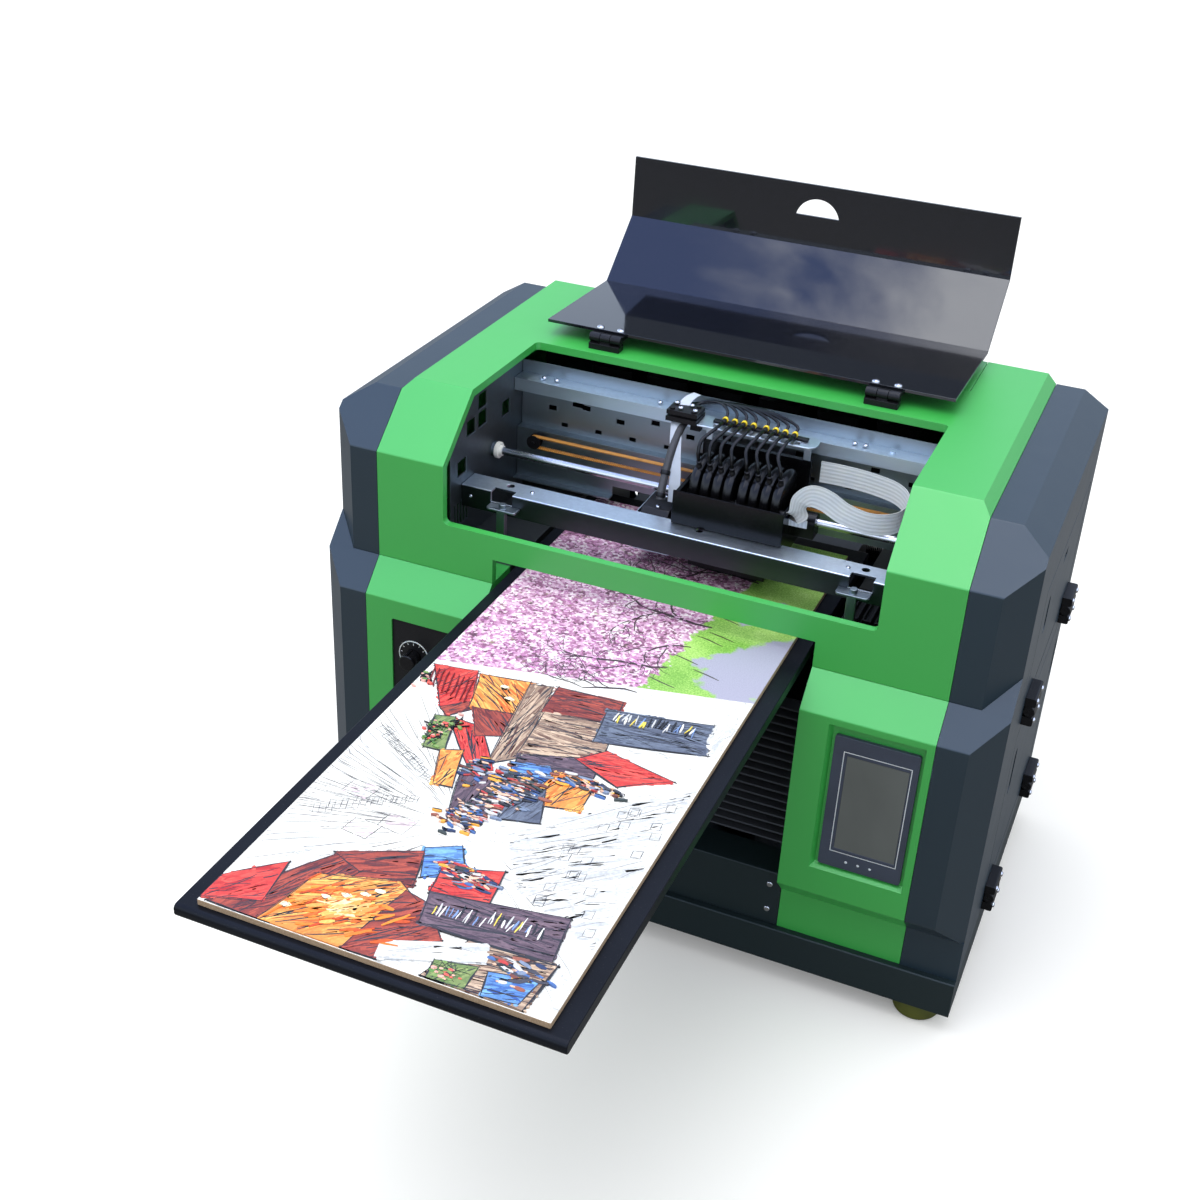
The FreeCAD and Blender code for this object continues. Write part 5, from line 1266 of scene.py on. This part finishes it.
def harness():
    """Sleeved hose and white band that come down from the clamp on the left of the carriage."""
    route = [(-36, -30, 541), (-37, -42, 536), (-39, -58, 518),
             (-40, -72, 496), (-39, -84, 478), (-38, -88, 470)]
    hose = bmesh.new()
    add_tube(hose, route, 4.6, 16, 12)
    piece("harness_sleeve", hose, "braided_sleeve", "carriage", ["carriage_hose"])
    ties = bmesh.new()
    for place, axis in (((-40, -71, 497.5), (0, -0.54, -0.84)), ((-38.6, -85, 477), (0, -0.4, -0.9))):
        add_turned(ties, [(0, 0), (5.2, 0), (5.6, 0.5), (5.6, 4.5), (5.2, 5), (0, 5)], place, axis, 20)
    piece("harness_ties", ties, "black_plastic", "carriage")
    bands = bmesh.new()
    free = [(-38, 2, 560), (-41, -8, 559.5), (-43, -22, 556), (-44, -38, 544), (-37, -58, 517)]
    held = [(-30, -72, 490), (-27, -80, 466)]
    for shift, lift in ((0.0, 0.0), (2.6, 1.6)):
        route = [(x + shift, y, z + lift) for x, y, z in free] + [(x + shift, y, z) for x, y, z in held]
        add_band(bands, route, 10, 0.5, lambda share: (1, 0.25, 0))
    piece("white_bands", bands, "blue_ribbon", "carriage")


def ribbon_loop():
    """White flat cable looping to the right of the carriage; its right end stays with the frame."""
    loop = bmesh.new()
    add_band(loop, [(117, -94, 478), (117.5, -95, 494), (120, -92, 507), (129, -86, 513), (144, -80, 508),
                    (164, -76, 496), (190, -72, 489), (212, -64, 490), (222, -50, 494), (220, -34, 501),
                    (205, -24, 507), (175, -19, 510), (145, -18, 511), (119, -19, 511)],
             25, 0.5, lambda share: (0.75, 0.0, 0.65) if share < 0.05 else (0, 0, 1))
    made = piece("ribbon_loop", loop, "ribbon", None, ["ffc_ribbon"])
    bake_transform(made)


def small_screws():
    """Dome screws on the rails, the plates and the clamp."""
    up, front = (0, 0, 1), (0, -1, 0)
    on_machine = [((x, 1, 542.8), up, 3.0) for x in (-222, -206, -78, 148, 160, 232)]
    on_machine += [((x, -124, 461.0), up, 2.6) for x in (-176, 186)]
    on_machine += [((x, -142.0, 449.0), front, 2.2) for x in (-243, 243)]
    on_machine += [((x, 11.9, 520), front, 2.0) for x in (-150, -60, 150)]
    bm = bmesh.new()
    for place, axis, radius in on_machine:
        add_dome_screw(bm, place, axis, radius)
    piece("frame_screws", bm, "bright_steel", "machine")
    bm = bmesh.new()
    for x, y in ((-49, -25), (-40, -37), (-31, -25), (-23, -37)):
        add_dome_screw(bm, (x, y, 559), up, 2.9)
    piece("clamp_screws", bm, "bright_steel", "carriage")


def lid_screws():
    """Bright dome screws that hold the lid to its hinges; they swing with it."""
    profile = [(0, -0.3), (4.5, -0.3), (4.5, 0.8), (4.0, 1.9), (2.8, 2.5), (1.2, 2.8), (0, 2.85)]
    bm = bmesh.new()
    for hinge in (-LID_HINGE_X, LID_HINGE_X):
        for side in (-12.5, 12.5):
            add_turned(bm, profile, (hinge + side, LID_SCREW_Y, LID_SCREW_Z), LID_UP, 20)
    piece("lid_screws", bm, "bright_steel", "lid")


def hinge_screws():
    """Dome screws in both leaves of the four door hinges."""
    fixed, swinging = -12, 12
    for name, body, leaves in (("hinge_screws", "machine", (UPPER_HINGES_Z + fixed, LOWER_HINGES_Z + fixed)),
                               ("upper_door_screws", "upper_door", (UPPER_HINGES_Z + swinging,)),
                               ("lower_door_screws", "lower_door", (LOWER_HINGES_Z + swinging,))):
        bm = bmesh.new()
        for z in leaves:
            for y in DOOR_HINGES_Y:
                for side in (-14, 14):
                    add_dome_screw(bm, (HINGE_FACE_X, y + side, z), (1, 0, 0), 3.2)
        piece(name, bm, "bright_steel", body)


def rod_bushes():
    """White bush and toothed eccentric at each end of the guide rod."""
    bushes, gears = bmesh.new(), bmesh.new()
    profile = [(4.6, 0), (9, 0), (9.6, 0.6), (9.6, 4.4), (9, 5), (6.4, 5), (6.0, 8.2), (4.6, 8.2), (4.6, 0)]
    for side in (-1, 1):
        add_turned(bushes, profile, (side * 251.6, ROD_Y, ROD_Z), (-side, 0, 0), 28)
    piece("rod_bushes", bushes, "natural_plastic", "machine")
    teeth = 34
    for side in (-1, 1):
        outline = []
        for tooth in range(teeth):
            for share, radius in ((0.0, 15.2), (0.25, 15.2), (0.45, 17.0), (0.75, 17.0)):
                angle = 2 * math.pi * (tooth + share) / teeth
                outline.append(Vector((ROD_Y, ROD_Z)) + heading(angle) * radius)
        add_prism(gears, outline, "x", side * 258, side * 261)
    piece("rod_gears", gears, "black_plastic", "machine", smooth=False)


# ================================================================ front controls
def touch_panel_marks():
    """Thin white outline round the screen and three indicator dots under it."""
    low, high = (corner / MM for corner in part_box("touch_screen"))
    face, line = low.y, 0.9
    x0, x1, z0, z1 = low.x - 4.2, high.x + 2.6, low.z - 5.0, high.z + 5.0
    bm = bmesh.new()
    add_loop(bm, rectangle(x0 + line, z0 + line, x1 - line, z1 - line), rectangle(x0, z0, x1, z1),
             face - 0.25, face + 0.4)
    piece("screen_outline", bm, "white_print", "machine", smooth=False)
    dots = bmesh.new()
    lens = [(0, -0.3), (1.5, -0.3), (1.5, 0.1), (1.0, 0.5), (0, 0.65)]
    for x in (251, 264, 277):
        add_turned(dots, lens, (x, face - 0.1, 178), (0, -1, 0))
    piece("indicator_dots", dots, "white_print", "machine")


def dial_scale():
    """White ring and tick marks round the knob."""
    low, high = (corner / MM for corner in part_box("dial_knob"))
    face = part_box("control_inset")[0].y / MM
    centre_x, centre_z = (low.x + high.x) / 2, (low.z + high.z) / 2
    ring = bmesh.new()
    profile = [(17.6, 0), (18.8, 0), (18.8, 0.5), (18.4, 0.8), (18.0, 0.8), (17.6, 0.5), (17.6, 0)]
    add_turned(ring, profile, (centre_x, face + 0.4, centre_z), (0, -1, 0), 48)
    for tick in range(11):
        angle = math.radians(-135 + 27 * tick)
        away = Vector((math.sin(angle), 0, math.cos(angle)))
        across = Vector((away.z, 0, -away.x))
        near, far = (13.2, 16.2) if tick % 5 == 0 else (14.4, 16.2)
        corners = [Vector((centre_x, 0, centre_z)) + away * r + across * w
                   for r, w in rectangle(near, -0.35, far, 0.35)]
        add_prism(ring, [(c.x, c.z) for c in corners], "y", face - 0.3, face + 0.4)
    piece("dial_scale", ring, "scale_print", "machine", smooth=False)


# ================================================================ studio
def camera():
    data = bpy.data.cameras.new("camera")
    data.lens = CAMERA_LENS
    data.sensor_width = 36.0
    data.clip_start, data.clip_end = 0.05, 80
    made = add_object("camera", data)
    level = math.cos(CAMERA_DOWN)
    forward = Vector((math.sin(CAMERA_TURN) * level, math.cos(CAMERA_TURN) * level, -math.sin(CAMERA_DOWN)))
    right = forward.cross(Vector((0, 0, 1))).normalized()
    up = right.cross(forward)
    rolled = right * math.cos(CAMERA_ROLL) + up * math.sin(CAMERA_ROLL)
    up = rolled.cross(forward)
    made.matrix_world = Matrix((rolled, up, -forward)).transposed().to_4x4()
    made.location = CAMERA_PLACE
    bpy.context.scene.camera = made


def overhead_light():
    data = bpy.data.lights.new("overhead", "AREA")
    data.shape = "RECTANGLE"
    data.size, data.size_y = 2.4, 2.0
    data.energy = 42
    made = add_object("overhead", data)
    made.location = Vector((-0.5, -0.7, 2.6))
    made.visible_glossy = False
    aim = Vector((0, -0.1, 0.3)) - made.location
    made.rotation_euler = aim.to_track_quat("-Z", "Y").to_euler()


def sky(tree):
    """What the gloss mirrors: deep blue sky with one bright cloud, dimmer towards the back and ground."""
    direction = node(tree, "ShaderNodeTexCoord").outputs["Generated"]
    across, depth, height = split(tree, direction)
    wisps = noise(tree, 5.5, 6, vector=direction, rough=0.68, distort=0.5)
    drift = plus(tree, across, times(tree, wisps, 0.55))
    band = times(tree, remap(tree, drift, 0.01, 0.13), remap(tree, drift, 0.37, 0.25, 0.35, 1.0))
    cloud = times(tree, band, remap(tree, height, 0.70, 0.88))
    blue = mix(tree, remap(tree, height, 0.2, 0.9), SKY_LOW, SKY_HIGH)
    dimmed = scaled(tree, blue, remap(tree, depth, 0.35, 0.65, 1.0, SKY_BEHIND))
    return mix(tree, remap(tree, height, -0.05, 0.25), SKY_GROUND, mix(tree, cloud, dimmed, SKY_CLOUD))


def studio_floor():
    """Pale floor; it throws less light back on the machine than the camera sees in it."""
    bm = bmesh.new()
    add_box(bm, (-14000, -14000, FLOOR_Z / MM - 30), (14000, 14000, FLOOR_Z / MM))
    material, tree, surface = new_material("studio_floor")
    paper = noise(tree, 3, 3)
    pale = mix(tree, paper, (0.88, 0.88, 0.88, 1.0), (0.91, 0.91, 0.91, 1.0))
    seen = node(tree, "ShaderNodeLightPath").outputs["Is Camera Ray"]
    tint = mix(tree, seen, (FLOOR_BOUNCE, FLOOR_BOUNCE, FLOOR_BOUNCE, 1.0), pale)
    finish_surface(tree, surface, colour=tint, rough=0.9, specular=0.1, emission=(1.0, 1.0, 1.0, 1.0),
                   glow=times(tree, seen, FLOOR_LIFT))
    mesh_object("studio_floor", bm, material, smooth=False)


def backdrop():
    """Near-white to the camera, soft light to matt surfaces, and the sky to glossy ones."""
    world = bpy.data.worlds.new("studio")
    bpy.context.scene.world = world
    world.use_nodes = True
    tree = world.node_tree
    tree.nodes.clear()
    path = node(tree, "ShaderNodeLightPath")
    height = split(tree, node(tree, "ShaderNodeTexCoord").outputs["Generated"])[2]
    soft = mix(tree, remap(tree, height, 0.0, 0.9), (0.66, 0.69, 0.71, 1.0), (1.25, 1.27, 1.28, 1.0))
    light = mix(tree, path.outputs["Is Glossy Ray"], soft, sky(tree))
    light = mix(tree, path.outputs["Is Camera Ray"], light, (0.99, 0.99, 0.99, 1.0))
    back = node(tree, "ShaderNodeBackground", {"Color": light, "Strength": 1.0})
    output = node(tree, "ShaderNodeOutputWorld")
    tree.links.new(back.outputs[0], output.inputs["Surface"])
    bpy.context.scene.view_settings.view_transform = "Standard"


def build():
    dress_cad()
    board_picture()
    for make in (dust_guard, slot_brush, belt, dampers, ink_tubes, harness, ribbon_loop, curing_lamp,
                 small_screws, lid_screws, hinge_screws, rod_bushes, touch_panel_marks, dial_scale):
        make()
    camera()
    studio_floor()
    backdrop()
    overhead_light()


build()
